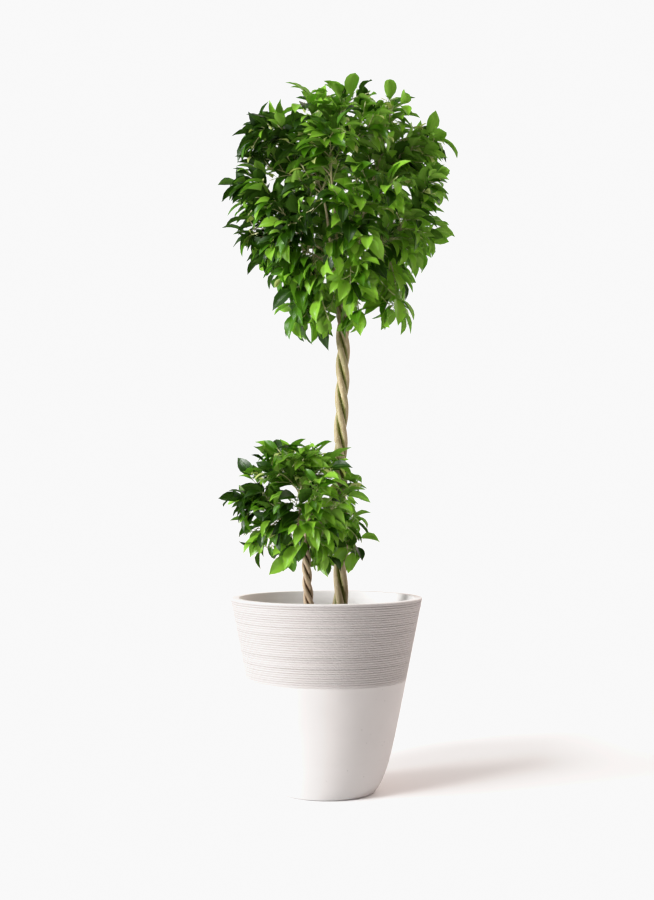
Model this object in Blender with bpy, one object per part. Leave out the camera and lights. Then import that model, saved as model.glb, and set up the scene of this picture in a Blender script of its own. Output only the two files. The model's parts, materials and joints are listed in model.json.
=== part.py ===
"""Potted weeping fig topiary: a tall head and a low head of leaves on twisted stems, in one pot.

Metres, +Z up. The origin is the middle of the pot's flat underside. +X is to the right and +Y
away from whoever faces the front. Each stem is three young trunks twisted together. At its top
each strand parts into boughs, each bough carries one mass of twigs and leaves, and every mass
keeps to its own cell of the head.
"""

import math
import random
from types import SimpleNamespace

import bmesh
import bpy
from mathutils import Quaternion, Vector
from mathutils.bvhtree import BVHTree

UP = Vector((0, 0, 1))
GAP = 0.0003
TURN = 2 * math.pi

# The pot: a thick moulded cone that tucks in to a flat foot, with a flat lip. A fine groove marks
# where its smooth lower part ends and the ribbed band begins.
POT_HEIGHT = 0.360
RIM_RADIUS = 0.180
CONE_SLOPE = 0.200
FOOT_TUCK = 0.018
TUCK_HEIGHT = 0.029
TUCK_RINGS = (0.30, 0.70, 1.20, 2.00, 3.50)
BAND_FOOT = 0.2095
BAND_GROOVE = 0.0012
LIP_WIDTH = 0.017
LIP_ROUND = 0.0025
WALL = 0.014
WALL_SWELL_POWER = 4
FLOOR = 0.012
POT_SEGMENTS = 36
SHARP_EDGE = math.radians(30)

# The soil that fills the pot to below its lip, and the one bend in its side, near the pot's foot
SOIL_LEVEL = 0.312
SOIL_EDGE = 0.006
SOIL_BEND = 1.5 * TUCK_HEIGHT

# Three strands touch all the way up a stem, and swell a little where they leave the soil
STRANDS = 3
STRAND_SIDES = 6
STRAND_GAP = 0.0005
STRAND_PACKING = 0.972
FLARE = 0.31
FLARE_HEIGHT = 0.045
WOBBLE_WAVES = 1.5

# Above the neck the strands splay. One, two or three boughs stand on a strand's end, each that
# share of its thickness, and taper by the share below. The first stands on the inner side.
SPLAY_LEAN = 0.45
SPLAY_BEND = 0.4
SPLAY_STEPS = 4
BOUGH_SHARES = {1: 0.62, 2: 0.47, 3: 0.44}
BOUGH_TAPER = 0.85
BOUGH_BEND = 0.35
BOUGH_SIDES = 5
BOUGH_STEPS = 4

# A mass: its stem, its shoots and how near they come to other masses and to limbs
STEM_TAPER = 0.70
STEM_SIDES = 4
STEM_STEPS = 4
STEM_BARE = 0.25
STEM_PULL = 0.45
TWIG_TAPER = 0.64
TWIG_SIDES = 3
TWIG_STEPS = 3
TWIG_HANDLE = 1 / 3
TWIG_AIM = 2
TWIG_ARCH = 0.12
SHOOT_SHARES = (0.84, 1.04)
CELL_MARGIN = 0.0006
LIMB_MARGIN = 0.0008
LIMB_MARGIN_SIDES = 8

# A leaf, in shares of its length: where it is widest, how wide, how deep its fold along the midrib
# is, how far it arches and how thick it is
LEAF_WIDEST = 0.42
LEAF_WIDTH = 0.48
LEAF_FOLD = 0.05
LEAF_ARCH = 0.13
LEAF_TIP_DROP = 0.05
LEAF_THICKNESS = 0.024

# How leaves sit: the leafy share of a shoot, the last leaf's place, how deep a root is sunk in its
# shoot against the depth of the shoot's middle, how a leaf leans, droops and faces, and how a
# crowded leaf tries other ways to lie
LEAFY_SHARE = 0.80
LAST_LEAF = 0.97
FEWEST_LEAVES = 3
LEAF_ROOT_DEPTH = 1.4
LEAF_SIZES = (0.88, 1.10)
LEAF_SIDE_SPREAD = 0.4
LEAF_LEAN_ALONG = 0.60
LEAF_LEAN_OUT = 0.75
LEAF_DROOP_UPRIGHT = 0.25
LEAF_DROOP_LEVEL = 0.90
LEAF_DROOP_SPREAD = (-0.20, 0.25)
LEAF_FACE_UP = 0.8
LEAF_FACE_OUT = 0.7
LEAF_FACE_SPREAD = 0.25
LEAF_TRIES = 14
TRY_TURN = TURN * 0.382
TRY_SHRINK = 0.25
TURN_IN = 1.1

TALL = SimpleNamespace(
    name="tall",
    seed=6,
    foot=Vector((0.025, 0.020, SOIL_LEVEL + GAP)),
    neck=Vector((0.031, 0.020, 0.925)),
    wobble=0.0015,
    strand_radius=0.0061,
    pitch_low=0.240,
    pitch_high=0.150,
    strand_at_right=0.7097,
    strand_step=0.0165,
    splay_radius=0.022,
    splay_rise=0.056,
    centre=Vector((0.027, 0.020, 1.112)),
    twig_reach=Vector((0.162, 0.162, 0.180)),
    squareness=(2.9, 2.1),
    side_ring=SimpleNamespace(radius=0.105, rise=-0.055, turns=(-30, 30)),
    top_ring=SimpleNamespace(radius=0.070, rise=0.100),
    top_strands=(0, 1, 2),
    bough_share=0.46,
    twig_radius=0.00115,
    shoots=57,
    lowest_shoot=-0.93,
    leaf=0.082,
    leaf_spacing=0.0118,
    stray_shoots=((180, 8, 1.20), (182, 40, 1.08), (180, -22, 1.12), (2, 35, 1.16), (-2, -22, 1.06),
                  (-80, 82, 0.98), (-20, -66, 1.20), (-150, -70, 1.16), (-80, -60, 1.10), (90, 10, 1.12)),
)

LOW = SimpleNamespace(
    name="low",
    seed=12,
    foot=Vector((-0.0300, -0.032, SOIL_LEVEL + GAP)),
    neck=Vector((-0.0390, -0.036, 0.452)),
    wobble=0.0005,
    strand_radius=0.0040,
    pitch_low=0.100,
    pitch_high=0.085,
    strand_at_right=0.372,
    strand_step=0.0095,
    splay_radius=0.013,
    splay_rise=0.030,
    centre=Vector((-0.047, -0.042, 0.542)),
    twig_reach=Vector((0.092, 0.092, 0.084)),
    squareness=(2.4, 2.6),
    side_ring=SimpleNamespace(radius=0.060, rise=-0.026, turns=(0,)),
    top_ring=SimpleNamespace(radius=0.0, rise=0.040),
    top_strands=(1,),
    bough_share=0.45,
    twig_radius=0.00095,
    shoots=28,
    lowest_shoot=-0.88,
    leaf=0.069,
    leaf_spacing=0.0110,
    stray_shoots=((-150, 64, 1.10), (-8, -40, 1.38), (178, 0, 1.12), (40, 25, 1.10)),
)


def clear_scene():
    for obj in list(bpy.data.objects):
        bpy.data.objects.remove(obj)


def material(name, colour, roughness):
    made = bpy.data.materials.new(name)
    made.use_nodes = True
    made.diffuse_color = (*colour, 1)
    shader = made.node_tree.nodes["Principled BSDF"]
    shader.inputs["Base Color"].default_value = (*colour, 1)
    shader.inputs["Roughness"].default_value = roughness
    shader.inputs["Metallic"].default_value = 0.0
    return made


def add_object(name, verts, faces, finish, collection=None):
    mesh = bpy.data.meshes.new(name)
    mesh.from_pydata([tuple(v) for v in verts], [], faces)
    mesh.materials.append(finish)
    obj = bpy.data.objects.new(name, mesh)
    (collection or bpy.context.scene.collection).objects.link(obj)
    return obj


# Turned pieces: the pot and the soil


def pot_outside(height):
    """The pot's outer radius at a height: a cone that tucks in ever faster towards its foot."""
    cone = RIM_RADIUS - CONE_SLOPE * (POT_HEIGHT - height)
    return cone - FOOT_TUCK * math.exp(-height / TUCK_HEIGHT)


def pot_inside(height):
    """The inner radius: the wall's thickness in from the outside, and the lip's width at the rim."""
    swell = (LIP_WIDTH - WALL) * (height / POT_HEIGHT) ** WALL_SWELL_POWER
    return pot_outside(height) - WALL - swell


def turned(name, profile, segments, finish):
    """Turns a closed outline of (radius, height) points round the Z axis. It starts and ends on the axis."""
    verts = []
    for radius, height in profile[1:-1]:
        for k in range(segments):
            angle = TURN * k / segments
            verts.append((radius * math.cos(angle), radius * math.sin(angle), height))
    rings = len(profile) - 2
    faces = []
    for ring in range(rings - 1):
        for k in range(segments):
            after = (k + 1) % segments
            low, high = ring * segments, (ring + 1) * segments
            faces.append((low + k, low + after, high + after, high + k))
    first, last = len(verts), len(verts) + 1
    verts += [(0, 0, profile[0][1]), (0, 0, profile[-1][1])]
    top = (rings - 1) * segments
    for k in range(segments):
        after = (k + 1) % segments
        faces.append((first, after, k))
        faces.append((last, top + k, top + after))
    obj = add_object(name, verts, faces, finish)
    obj.data.shade_smooth()
    obj.data.set_sharp_from_angle(angle=SHARP_EDGE)
    return obj


def pot(finish):
    """One closed shell, from the underside up the outside, over the lip and down the inside to the floor."""
    outer = [(pot_outside(z), z) for z in [0, *(TUCK_HEIGHT * ring for ring in TUCK_RINGS)]]
    groove = [
        (pot_outside(BAND_FOOT - BAND_GROOVE), BAND_FOOT - BAND_GROOVE),
        (pot_outside(BAND_FOOT) - BAND_GROOVE, BAND_FOOT),
        (pot_outside(BAND_FOOT + BAND_GROOVE), BAND_FOOT + BAND_GROOVE),
    ]
    inner_rim = RIM_RADIUS - LIP_WIDTH
    lip = [
        (pot_outside(POT_HEIGHT - LIP_ROUND), POT_HEIGHT - LIP_ROUND),
        (RIM_RADIUS - LIP_ROUND, POT_HEIGHT),
        (inner_rim + LIP_ROUND, POT_HEIGHT),
        (inner_rim, POT_HEIGHT - LIP_ROUND),
    ]
    inner = [(pot_inside(z), z) for z in soil_heights()[::-1]]
    return turned("pot", [(0, 0), *outer, *groove, *lip, *inner, (0, FLOOR)], POT_SEGMENTS, finish)


def soil_heights():
    """Where the pot's inner wall and the side of the soil have their corners, from the floor up."""
    return [FLOOR, SOIL_BEND, SOIL_LEVEL - SOIL_EDGE]


def soil(finish):
    """The root ball's potting mix, which fills the pot from its floor and ends in a soft edge."""
    def wall(height):
        return pot_inside(height) * math.cos(math.pi / POT_SEGMENTS) - GAP

    floor, *heights = soil_heights()
    sides = [(wall(z), z) for z in (floor + GAP, *heights)]
    top = [(wall(SOIL_LEVEL) - SOIL_EDGE, SOIL_LEVEL), (0, SOIL_LEVEL)]
    return turned("soil", [(0, floor + GAP), *sides, *top], POT_SEGMENTS, finish)


# Round limbs: strands and boughs


def bezier(points, share):
    """The point at that share of a Bezier curve through any number of control points."""
    while len(points) > 1:
        points = [a.lerp(b, share) for a, b in zip(points, points[1:])]
    return points[0]


def curve_through(points, steps):
    return [bezier(points, k / steps) for k in range(steps + 1)]


def tube(path, radii, sides, foot=None):
    """A closed tube of verts and faces along a path. Its first end is square to foot, if that is given."""
    verts, faces = [], []
    normal = (foot or path[1] - path[0]).orthogonal()
    for k, point in enumerate(path):
        along = (path[min(k + 1, len(path) - 1)] - path[max(k - 1, 0)]).normalized()
        if k == 0 and foot:
            along = foot
        normal = (normal - along * normal.dot(along)).normalized()
        other = along.cross(normal)
        for s in range(sides):
            angle = TURN * s / sides
            verts.append(point + (normal * math.cos(angle) + other * math.sin(angle)) * radii[k])
    for k in range(len(path) - 1):
        for s in range(sides):
            after = (s + 1) % sides
            low, high = k * sides, (k + 1) * sides
            faces.append((low + s, low + after, high + after, high + s))
    faces.append(tuple(reversed(range(sides))))
    faces.append(tuple(range((len(path) - 1) * sides, len(path) * sides)))
    return verts, faces


def tapering(thick, taper, steps):
    """Radii that shrink evenly from thick to that share of it."""
    return [thick * (1 - (1 - taper) * k / steps) for k in range(steps + 1)]


def flat(angle):
    return Vector((math.cos(angle), math.sin(angle), 0))


def twist(head, height):
    """The angle that a strand has turned at a height. The turns draw closer together upwards."""
    rise = head.neck.z - head.foot.z
    slope = (head.pitch_high - head.pitch_low) / rise
    pitch = head.pitch_low + slope * (height - head.foot.z)
    return TURN / slope * math.log(pitch / head.pitch_low)


def strand_radius(head, height):
    return head.strand_radius * (1 + FLARE * math.exp((head.foot.z - height) / FLARE_HEIGHT))


def strand_angle(head, strand, height):
    """Upwards the strands turn clockwise as seen from above, so they fall to the right in front."""
    return TURN * strand / STRANDS - twist(head, height) + twist(head, head.strand_at_right)


def strand_point(head, strand, height):
    share = (height - head.foot.z) / (head.neck.z - head.foot.z)
    middle = head.foot.lerp(head.neck, share)
    middle.x += head.wobble * math.sin(TURN * WOBBLE_WAVES * share)
    ring = (2 * strand_radius(head, height) + STRAND_GAP) / (math.sqrt(3) * STRAND_PACKING)
    return middle + flat(strand_angle(head, strand, height)) * ring


def strand_path(head, strand):
    """The twisted run from the soil to the neck, then the splayed end. Also gives which way it splays."""
    steps = round((head.neck.z - head.foot.z) / head.strand_step)
    rise = (head.neck.z - head.foot.z) / steps
    path = [strand_point(head, strand, head.foot.z + rise * k) for k in range(steps + 1)]
    outward = flat(strand_angle(head, strand, head.neck.z))
    heading = (path[-1] - path[-2]).normalized()
    tip = head.neck + outward * head.splay_radius + UP * head.splay_rise
    lean = (outward * SPLAY_LEAN + UP).normalized()
    bend = head.splay_rise * SPLAY_BEND
    ends = [path[-1], path[-1] + heading * bend, tip - lean * bend, tip]
    return path + curve_through(ends, SPLAY_STEPS)[1:], outward


def strand(head, number, finish):
    path, _ = strand_path(head, number)
    radii = [strand_radius(head, point.z) for point in path]
    obj = add_object(f"{head.name}_strand_{number + 1}", *tube(path, radii, STRAND_SIDES, UP), finish)
    obj.data.shade_smooth()
    return obj


def mass_plan(head):
    """Every mass of a head: the middle of its cell, and the seat of its bough on a strand's end."""
    plan = []
    for number in range(STRANDS):
        path, outward = strand_path(head, number)
        middles = []
        if number in head.top_strands:
            middles.append(head.centre + outward * head.top_ring.radius + UP * head.top_ring.rise)
        for turn in head.side_ring.turns:
            angle = math.atan2(outward.y, outward.x) + math.radians(turn)
            middles.append(head.centre + flat(angle) * head.side_ring.radius + UP * head.side_ring.rise)
        radius = head.strand_radius * BOUGH_SHARES[len(middles)]
        heading = (path[-1] - path[-2]).normalized()
        inward = heading.cross(UP.cross(outward)) * (head.strand_radius - radius) * (len(middles) > 1)
        for k, middle in enumerate(middles):
            offset = inward.copy()
            offset.rotate(Quaternion(heading, TURN * k / len(middles)))
            seat = path[-1] + heading * GAP + offset
            name = f"{head.name}_{len(plan) + 1}"
            plan.append(SimpleNamespace(name=name, middle=middle, seat=seat, heading=heading, radius=radius))
    return plan


def bough_path(head, mass):
    """From its seat on the strand's end it bends over towards the middle of its mass."""
    end = mass.seat.lerp(mass.middle, head.bough_share)
    reach = (end - mass.seat).length
    return curve_through([mass.seat, mass.seat + mass.heading * reach * BOUGH_BEND, end], BOUGH_STEPS)


def bough(head, mass, finish):
    radii = tapering(mass.radius, BOUGH_TAPER, BOUGH_STEPS)
    verts, faces = tube(bough_path(head, mass), radii, BOUGH_SIDES, mass.heading)
    obj = add_object(mass.name.replace("_", "_bough_"), verts, faces, finish)
    obj.data.shade_smooth()
    return obj


# Foliage


def outline_reach(head, direction):
    """How far a shoot may reach in a direction. The head is a rounded block above and a ball below."""
    power = head.squareness[direction.z < 0]
    total = sum(abs(d / r) ** power for d, r in zip(direction, head.twig_reach))
    return total ** (-1 / power)


def shoot_tips(head, draw):
    """The ends of the shoots, spread evenly over the head by the golden angle, then the strays."""
    golden = math.pi * (3 - math.sqrt(5))
    tips = []
    for k in range(head.shoots):
        height = 1 - (1 - head.lowest_shoot) * (k + 0.5) / head.shoots
        direction = flat(golden * k) * math.sqrt(1 - height ** 2) + UP * height
        share = draw.uniform(*SHOOT_SHARES)
        tips.append(head.centre + direction * outline_reach(head, direction) * share)
    for azimuth, elevation, share in head.stray_shoots:
        level = flat(math.radians(azimuth)) * math.cos(math.radians(elevation))
        direction = level + UP * math.sin(math.radians(elevation))
        tips.append(head.centre + direction * outline_reach(head, direction) * share)
    return tips


def cell_walls(mass, masses):
    """The planes halfway to the other masses' middles, as unit normals and how far out along them a
    piece of this mass may reach."""
    walls = []
    for other in masses:
        if other is not mass:
            normal = (other.middle - mass.middle).normalized()
            walls.append((normal, (mass.middle + other.middle).dot(normal) / 2 - CELL_MARGIN))
    return walls


def inside(points, walls):
    return all(point.dot(normal) < reach for normal, reach in walls for point in points)


def turned_in(root, direction, length, walls):
    """The direction, bent so far that a leaf's tip doesn't cross its cell's walls."""
    for normal, reach in walls:
        excess = (root + direction * length).dot(normal) - reach
        if excess > 0:
            direction = (direction - normal * excess / length * TURN_IN).normalized()
    return direction


def leaf_mesh(root, direction, face, length):
    """An eight-sided leaf, arched and folded along its midrib. Its first four sides are the root half."""
    side = direction.cross(face)
    lift = face * length * LEAF_ARCH
    middle = root + direction * length * LEAF_WIDEST + lift
    edge = side * length * LEAF_WIDTH / 2
    fold = face * length * LEAF_FOLD
    thick = face * length * LEAF_THICKNESS / 2
    tip = root + (direction - face * LEAF_TIP_DROP) * length
    verts = [root, tip, middle + edge, middle - edge, middle - fold + thick, middle - fold - thick]
    return verts, [(0, 2, 4), (0, 4, 3), (0, 5, 2), (0, 3, 5), (1, 4, 2), (1, 3, 4), (1, 2, 5), (1, 5, 3)]


def leaf_direction(along, side, lift, draw):
    """A leaf leans out from its shoot and hangs the more the flatter the shoot lies, unless it is lifted."""
    droop = LEAF_DROOP_LEVEL + (LEAF_DROOP_UPRIGHT - LEAF_DROOP_LEVEL) * abs(along.z)
    droop = (droop + draw.uniform(*LEAF_DROOP_SPREAD)) * (1 - lift)
    return (along * LEAF_LEAN_ALONG + side * LEAF_LEAN_OUT - UP * droop).normalized()


def leaf_face(direction, side, outward, draw):
    """The upper face of a leaf looks up and out of the head."""
    roll = draw.uniform(-LEAF_FACE_SPREAD, LEAF_FACE_SPREAD)
    face = UP * LEAF_FACE_UP + outward * LEAF_FACE_OUT + side * roll
    return (face - direction * face.dot(direction)).normalized()


def tree_of(shapes):
    """One search tree of many closed shapes of verts and faces."""
    verts, faces = [], []
    for ring, skin in shapes:
        faces += [tuple(i + len(verts) for i in face) for face in skin]
        verts += ring
    return BVHTree.FromPolygons(verts, faces)


def twig_path(start, heading, tip, outward):
    """A shoot leaves its stem at a slant, sweeps out to its place and nods at the end."""
    reach = (tip - start).length
    leave = ((tip - start).normalized() * TWIG_AIM + heading).normalized()
    rise = UP * reach * TWIG_ARCH * (1 - abs(outward.z))
    return curve_through([start, start + leave * reach * TWIG_HANDLE + rise, tip + rise, tip], TWIG_STEPS)


def grow_wood(head, mass, walls, tips, limbs):
    """The woody part of one mass: a stem that runs on from the bough, and shoots to the tips in its cell."""
    bough_line = bough_path(head, mass)
    heading = (bough_line[-1] - bough_line[-2]).normalized()
    start = bough_line[-1] + heading * GAP
    mine = [tip for tip in tips if inside([tip], walls)]
    end = mass.middle.lerp(sum(mine, Vector()) / len(mine), STEM_PULL)
    stem = curve_through([start, start + heading * (end - start).length * BOUGH_BEND, end], STEM_STEPS)
    radii = tapering(mass.radius * BOUGH_TAPER, STEM_TAPER, STEM_STEPS)
    wood = [tube(stem, radii, STEM_SIDES, heading)]
    shoots = []
    mine.sort(key=lambda tip: (tip - start).angle(heading), reverse=True)
    for number, tip in enumerate(mine):
        share = (STEM_BARE + (1 - STEM_BARE) * (number + 0.5) / len(mine)) * STEM_STEPS
        place = min(int(share), STEM_STEPS - 1)
        node = stem[place].lerp(stem[place + 1], share - place)
        outward = (tip - head.centre).normalized()
        path = twig_path(node, (stem[place + 1] - stem[place]).normalized(), tip, outward)
        twig = tube(path, tapering(head.twig_radius, TWIG_TAPER, TWIG_STEPS), TWIG_SIDES)
        if inside(twig[0], walls) and not BVHTree.FromPolygons(*twig).overlap(limbs):
            wood.append(twig)
            shoots.append((twig[0], outward))
    return wood, shoots


def seats_along(twig, share):
    """The middles of a shoot's sides at that share of its length, its axis there and its direction."""
    rings = [twig[k:k + TWIG_SIDES] for k in range(0, len(twig), TWIG_SIDES)]
    stretch = min(int(share * TWIG_STEPS), TWIG_STEPS - 1)
    corners = [a.lerp(b, share * TWIG_STEPS - stretch) for a, b in zip(rings[stretch], rings[stretch + 1])]
    along = (rings[stretch + 1][0] - rings[stretch][0]).normalized()
    seats = [(corners[k] + corners[k - 1]) / 2 for k in range(TWIG_SIDES)]
    return seats, sum(corners, Vector()) / TWIG_SIDES, along


def grow_leaves(head, walls, shoots, wood, limbs, draw):
    """Leaves by turns to either side of each shoot, and one at its tip. A leaf is skipped where it would
    leave the cell or touch a limb, a shoot or another leaf."""
    leaves, trees = [], []
    twigs = tree_of(wood)
    for twig, outward in shoots:
        length = sum((b - a).length for a, b in zip(twig[::TWIG_SIDES], twig[TWIG_SIDES::TWIG_SIDES]))
        count = max(FEWEST_LEAVES, round(length * LEAFY_SHARE / head.leaf_spacing))
        turn = draw.uniform(0, TURN)
        for k in range(count):
            seats, axis, along = seats_along(twig, LAST_LEAF - LEAFY_SHARE * k / count)
            across = along.orthogonal().normalized()
            for attempt in range(LEAF_TRIES):
                crowding = attempt / LEAF_TRIES
                size = head.leaf * draw.uniform(*LEAF_SIZES) * (1 - TRY_SHRINK * crowding)
                angle = turn + math.pi * k + TRY_TURN * attempt
                angle += draw.uniform(-LEAF_SIDE_SPREAD, LEAF_SIDE_SPREAD)
                side = across * math.cos(angle) + along.cross(across) * math.sin(angle)
                direction = leaf_direction(along, side, crowding, draw)
                direction = turned_in(axis, direction, size, walls)
                seat = max(seats, key=lambda place: (place - axis).dot(direction))
                root = seat - direction * (seat - axis).length * LEAF_ROOT_DEPTH
                verts, faces = leaf_mesh(root, direction, leaf_face(direction, side, outward, draw), size)
                tree = BVHTree.FromPolygons(verts, faces)
                outer = BVHTree.FromPolygons(verts, faces[4:])
                if not inside(verts, walls) or tree.overlap(limbs) or outer.overlap(twigs):
                    continue
                if any((verts[2] - near).length < size and tree.overlap(other) for near, other in trees):
                    continue
                leaves.append((verts, faces))
                trees.append((verts[2], tree))
                break
    return leaves


def foliage(head, mass, masses, tips, limbs, finish):
    """One mass of twigs and leaves, fused into one closed solid."""
    draw = random.Random(f"{head.seed} {mass.name}")
    walls = cell_walls(mass, masses)
    wood, shoots = grow_wood(head, mass, walls, tips, limbs)
    leaves = grow_leaves(head, walls, shoots, wood, limbs, draw)
    return joined(mass, wood + leaves, finish)


def joined(mass, pieces, finish):
    """One closed solid of a mass's pieces, by a Boolean union of a collection."""
    heap = bpy.data.collections.new(mass.name)
    bpy.context.scene.collection.children.link(heap)
    whole = add_object(mass.name.replace("_", "_foliage_"), *pieces[0], finish)
    turn_out(whole.data)
    parts = [add_object("piece", *piece, finish, heap) for piece in pieces[1:]]
    for part in parts:
        turn_out(part.data)
    union = whole.modifiers.new("join", "BOOLEAN")
    union.operation = "UNION"
    union.operand_type = "COLLECTION"
    union.collection = heap
    union.solver = "MANIFOLD"
    graph = bpy.context.evaluated_depsgraph_get()
    mesh = bpy.data.meshes.new_from_object(whole.evaluated_get(graph))
    whole.modifiers.remove(union)
    whole.data = mesh
    for part in parts:
        bpy.data.objects.remove(part)
    bpy.data.collections.remove(heap)
    return whole


def turn_out(mesh):
    """Makes the faces of a closed mesh look outwards."""
    shape = bmesh.new()
    shape.from_mesh(mesh)
    bmesh.ops.recalc_face_normals(shape, faces=shape.faces)
    shape.to_mesh(mesh)
    shape.free()


def limb_tree(heads, plans):
    """All strands and boughs, fattened by the margin that foliage keeps from them."""
    shapes = []
    for head in heads:
        thickest = head.strand_radius * (1 + FLARE)
        lines = [(strand_path(head, number)[0], thickest) for number in range(STRANDS)]
        lines += [(bough_path(head, mass), mass.radius) for mass in plans[head.name]]
        for line, radius in lines:
            shapes.append(tube(line, [radius + LIMB_MARGIN] * len(line), LIMB_MARGIN_SIDES))
    return tree_of(shapes)


def main():
    clear_scene()
    white = material("pot_plastic", (0.80, 0.78, 0.77), 0.55)
    earth = material("potting_mix", (0.060, 0.038, 0.024), 0.95)
    bark = material("bark", (0.42, 0.35, 0.20), 0.75)
    green = material("leaf", (0.060, 0.170, 0.022), 0.40)
    pot(white)
    soil(earth)
    heads = (TALL, LOW)
    plans = {head.name: mass_plan(head) for head in heads}
    limbs = limb_tree(heads, plans)
    for head in heads:
        for number in range(STRANDS):
            strand(head, number, bark)
        masses = plans[head.name]
        tips = shoot_tips(head, random.Random(head.seed))
        for mass in masses:
            bough(head, mass, bark)
        for mass in masses:
            foliage(head, mass, masses, tips, limbs, green)


main()
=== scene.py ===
"""The looks of a weeping fig topiary: its pot, potting mix, twisted stems, boughs, twigs and leaves.

Metres, +Z up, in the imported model's frame. The origin is the middle of the pot's flat underside, +X is
to the right and +Y away from whoever faces the front.
"""

import json
import math
import random
from types import SimpleNamespace

import bmesh
import bpy
from mathutils import Matrix, Quaternion, Vector
from mathutils.bvhtree import BVHTree
from mathutils.kdtree import KDTree

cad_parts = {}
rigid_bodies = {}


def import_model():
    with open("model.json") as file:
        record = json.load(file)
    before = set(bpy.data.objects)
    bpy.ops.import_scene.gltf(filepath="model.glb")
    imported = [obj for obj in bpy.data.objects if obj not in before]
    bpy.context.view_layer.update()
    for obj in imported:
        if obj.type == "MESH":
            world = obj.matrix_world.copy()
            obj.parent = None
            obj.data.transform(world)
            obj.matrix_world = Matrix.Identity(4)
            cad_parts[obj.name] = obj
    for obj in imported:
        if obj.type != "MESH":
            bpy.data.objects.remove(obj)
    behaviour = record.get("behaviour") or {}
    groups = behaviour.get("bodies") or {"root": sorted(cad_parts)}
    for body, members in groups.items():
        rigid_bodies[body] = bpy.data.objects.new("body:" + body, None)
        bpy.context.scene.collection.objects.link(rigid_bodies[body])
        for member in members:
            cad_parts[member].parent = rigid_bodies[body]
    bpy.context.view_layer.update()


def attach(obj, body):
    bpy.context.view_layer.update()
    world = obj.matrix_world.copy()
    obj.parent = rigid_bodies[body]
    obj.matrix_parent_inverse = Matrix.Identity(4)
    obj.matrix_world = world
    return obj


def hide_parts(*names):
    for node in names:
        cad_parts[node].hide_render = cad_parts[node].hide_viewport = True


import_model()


# The pot. The real one is moulded from stone powder and resin, off-white and matt, in a cone that tucks
# in to a flat foot. Its upper band is combed with fine level ribs and has small pits, the lower part is
# smooth, a fine groove parts the two, and the wall ends in a flat lip. Its inside and the top of its lip
# are coloured whiter than the outside, which is painted light for the light that falls on them.

TURN = 2 * math.pi
POT_HEIGHT = 0.360
RIM_RADIUS = 0.180
CONE_SLOPE = 0.200
FOOT_TUCK = 0.018
TUCK_HEIGHT = 0.029
TUCK_RINGS = (0.06, 0.15, 0.30, 0.50, 0.70, 0.95, 1.20, 1.60, 2.00, 2.60, 3.50, 4.80, 6.20)
FOOT_ROUND = 0.0030
FOOT_RISE = 0.0009
BAND_FOOT = 0.2095
BAND_GROOVE = 0.0012
LIP_WIDTH = 0.017
LIP_ROUND = 0.0017
LIP_STEPS = 4
WALL = 0.014
WALL_SWELL_POWER = 4
FLOOR = 0.012
POT_SEGMENTS = 192
SHARP_EDGE = math.radians(35)
RIB_PITCH = 0.0041
RIB_RINGS = (0.0, 0.2, 0.5, 0.8)
RIB_DEPTH = 0.0015
RIB_TOP = POT_HEIGHT - LIP_ROUND - 0.0004
INNER_HEIGHTS = (0.340, 0.312, 0.270, 0.150, 0.0435, FLOOR)
POT_WHITE = (0.545, 0.522, 0.512)
BAND_GREY = (0.455, 0.428, 0.418)
# Painted light: the inside wall and the lip's top are coloured whiter than the pot, for light falling on them.
INNER_PAINTED_LIGHT_WHITE = (0.85, 0.835, 0.83)


def put(tree, kind, inputs=(), **settings):
    """Adds a node with its settings to a tree. Its inputs are plain values or other nodes' outputs."""
    made = tree.nodes.new(kind)
    for key, value in settings.items():
        setattr(made, key, value)
    for key, value in dict(inputs).items():
        if isinstance(value, bpy.types.NodeSocket):
            tree.links.new(value, made.inputs[key])
        else:
            made.inputs[key].default_value = value
    return made


def sum_up(tree, operation, *values):
    """The result of one sum on numbers or outputs."""
    return put(tree, "ShaderNodeMath", dict(enumerate(values)), operation=operation).outputs[0]


def spread(tree, value, low, high, to_low=0.0, to_high=1.0):
    """A value stretched from one range to another, and held to the second."""
    inputs = {0: value, 1: low, 2: high, 3: to_low, 4: to_high}
    return put(tree, "ShaderNodeMapRange", inputs).outputs[0]


def shape_tree(name, kinds):
    """A geometry tree with named inputs of those kinds. Returns it, its inputs and where its shape goes out."""
    tree = bpy.data.node_groups.new(name, "GeometryNodeTree")
    tree.interface.new_socket("Geometry", in_out="OUTPUT", socket_type="NodeSocketGeometry")
    for key, kind in {"Geometry": "Geometry", **kinds}.items():
        tree.interface.new_socket(key, in_out="INPUT", socket_type=f"NodeSocket{kind}")
    return tree, put(tree, "NodeGroupInput").outputs, put(tree, "NodeGroupOutput")


def shaped(obj, tree, values):
    """Runs a geometry tree on an object with its named inputs set, and leaves a plain mesh."""
    modifier = obj.modifiers.new(tree.name, "NODES")
    modifier.node_group = tree
    for item in tree.interface.items_tree:
        if item.name in values:
            modifier[item.identifier] = values[item.name]
    graph = bpy.context.evaluated_depsgraph_get()
    done = obj.evaluated_get(graph)
    mesh = bpy.data.meshes.new_from_object(done, preserve_all_data_layers=True, depsgraph=graph)
    for number in reversed(range(len(mesh.materials))):
        if mesh.materials[number] is None:
            mesh.materials.pop(index=number)
    obj.modifiers.remove(modifier)
    obj.data = mesh
    mesh.name = obj.name
    return obj


def new_piece(name, verts, faces, edges=()):
    mesh = bpy.data.meshes.new(name)
    mesh.from_pydata([tuple(v) for v in verts], edges, faces)
    obj = bpy.data.objects.new(name, mesh)
    bpy.context.scene.collection.objects.link(obj)
    return obj


def kept(obj, slot, *nodes):
    """A finished piece rides on the plant's one body and stands for its nodes. The slot is not used."""
    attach(obj, "root")
    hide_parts(*nodes)
    return obj


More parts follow.
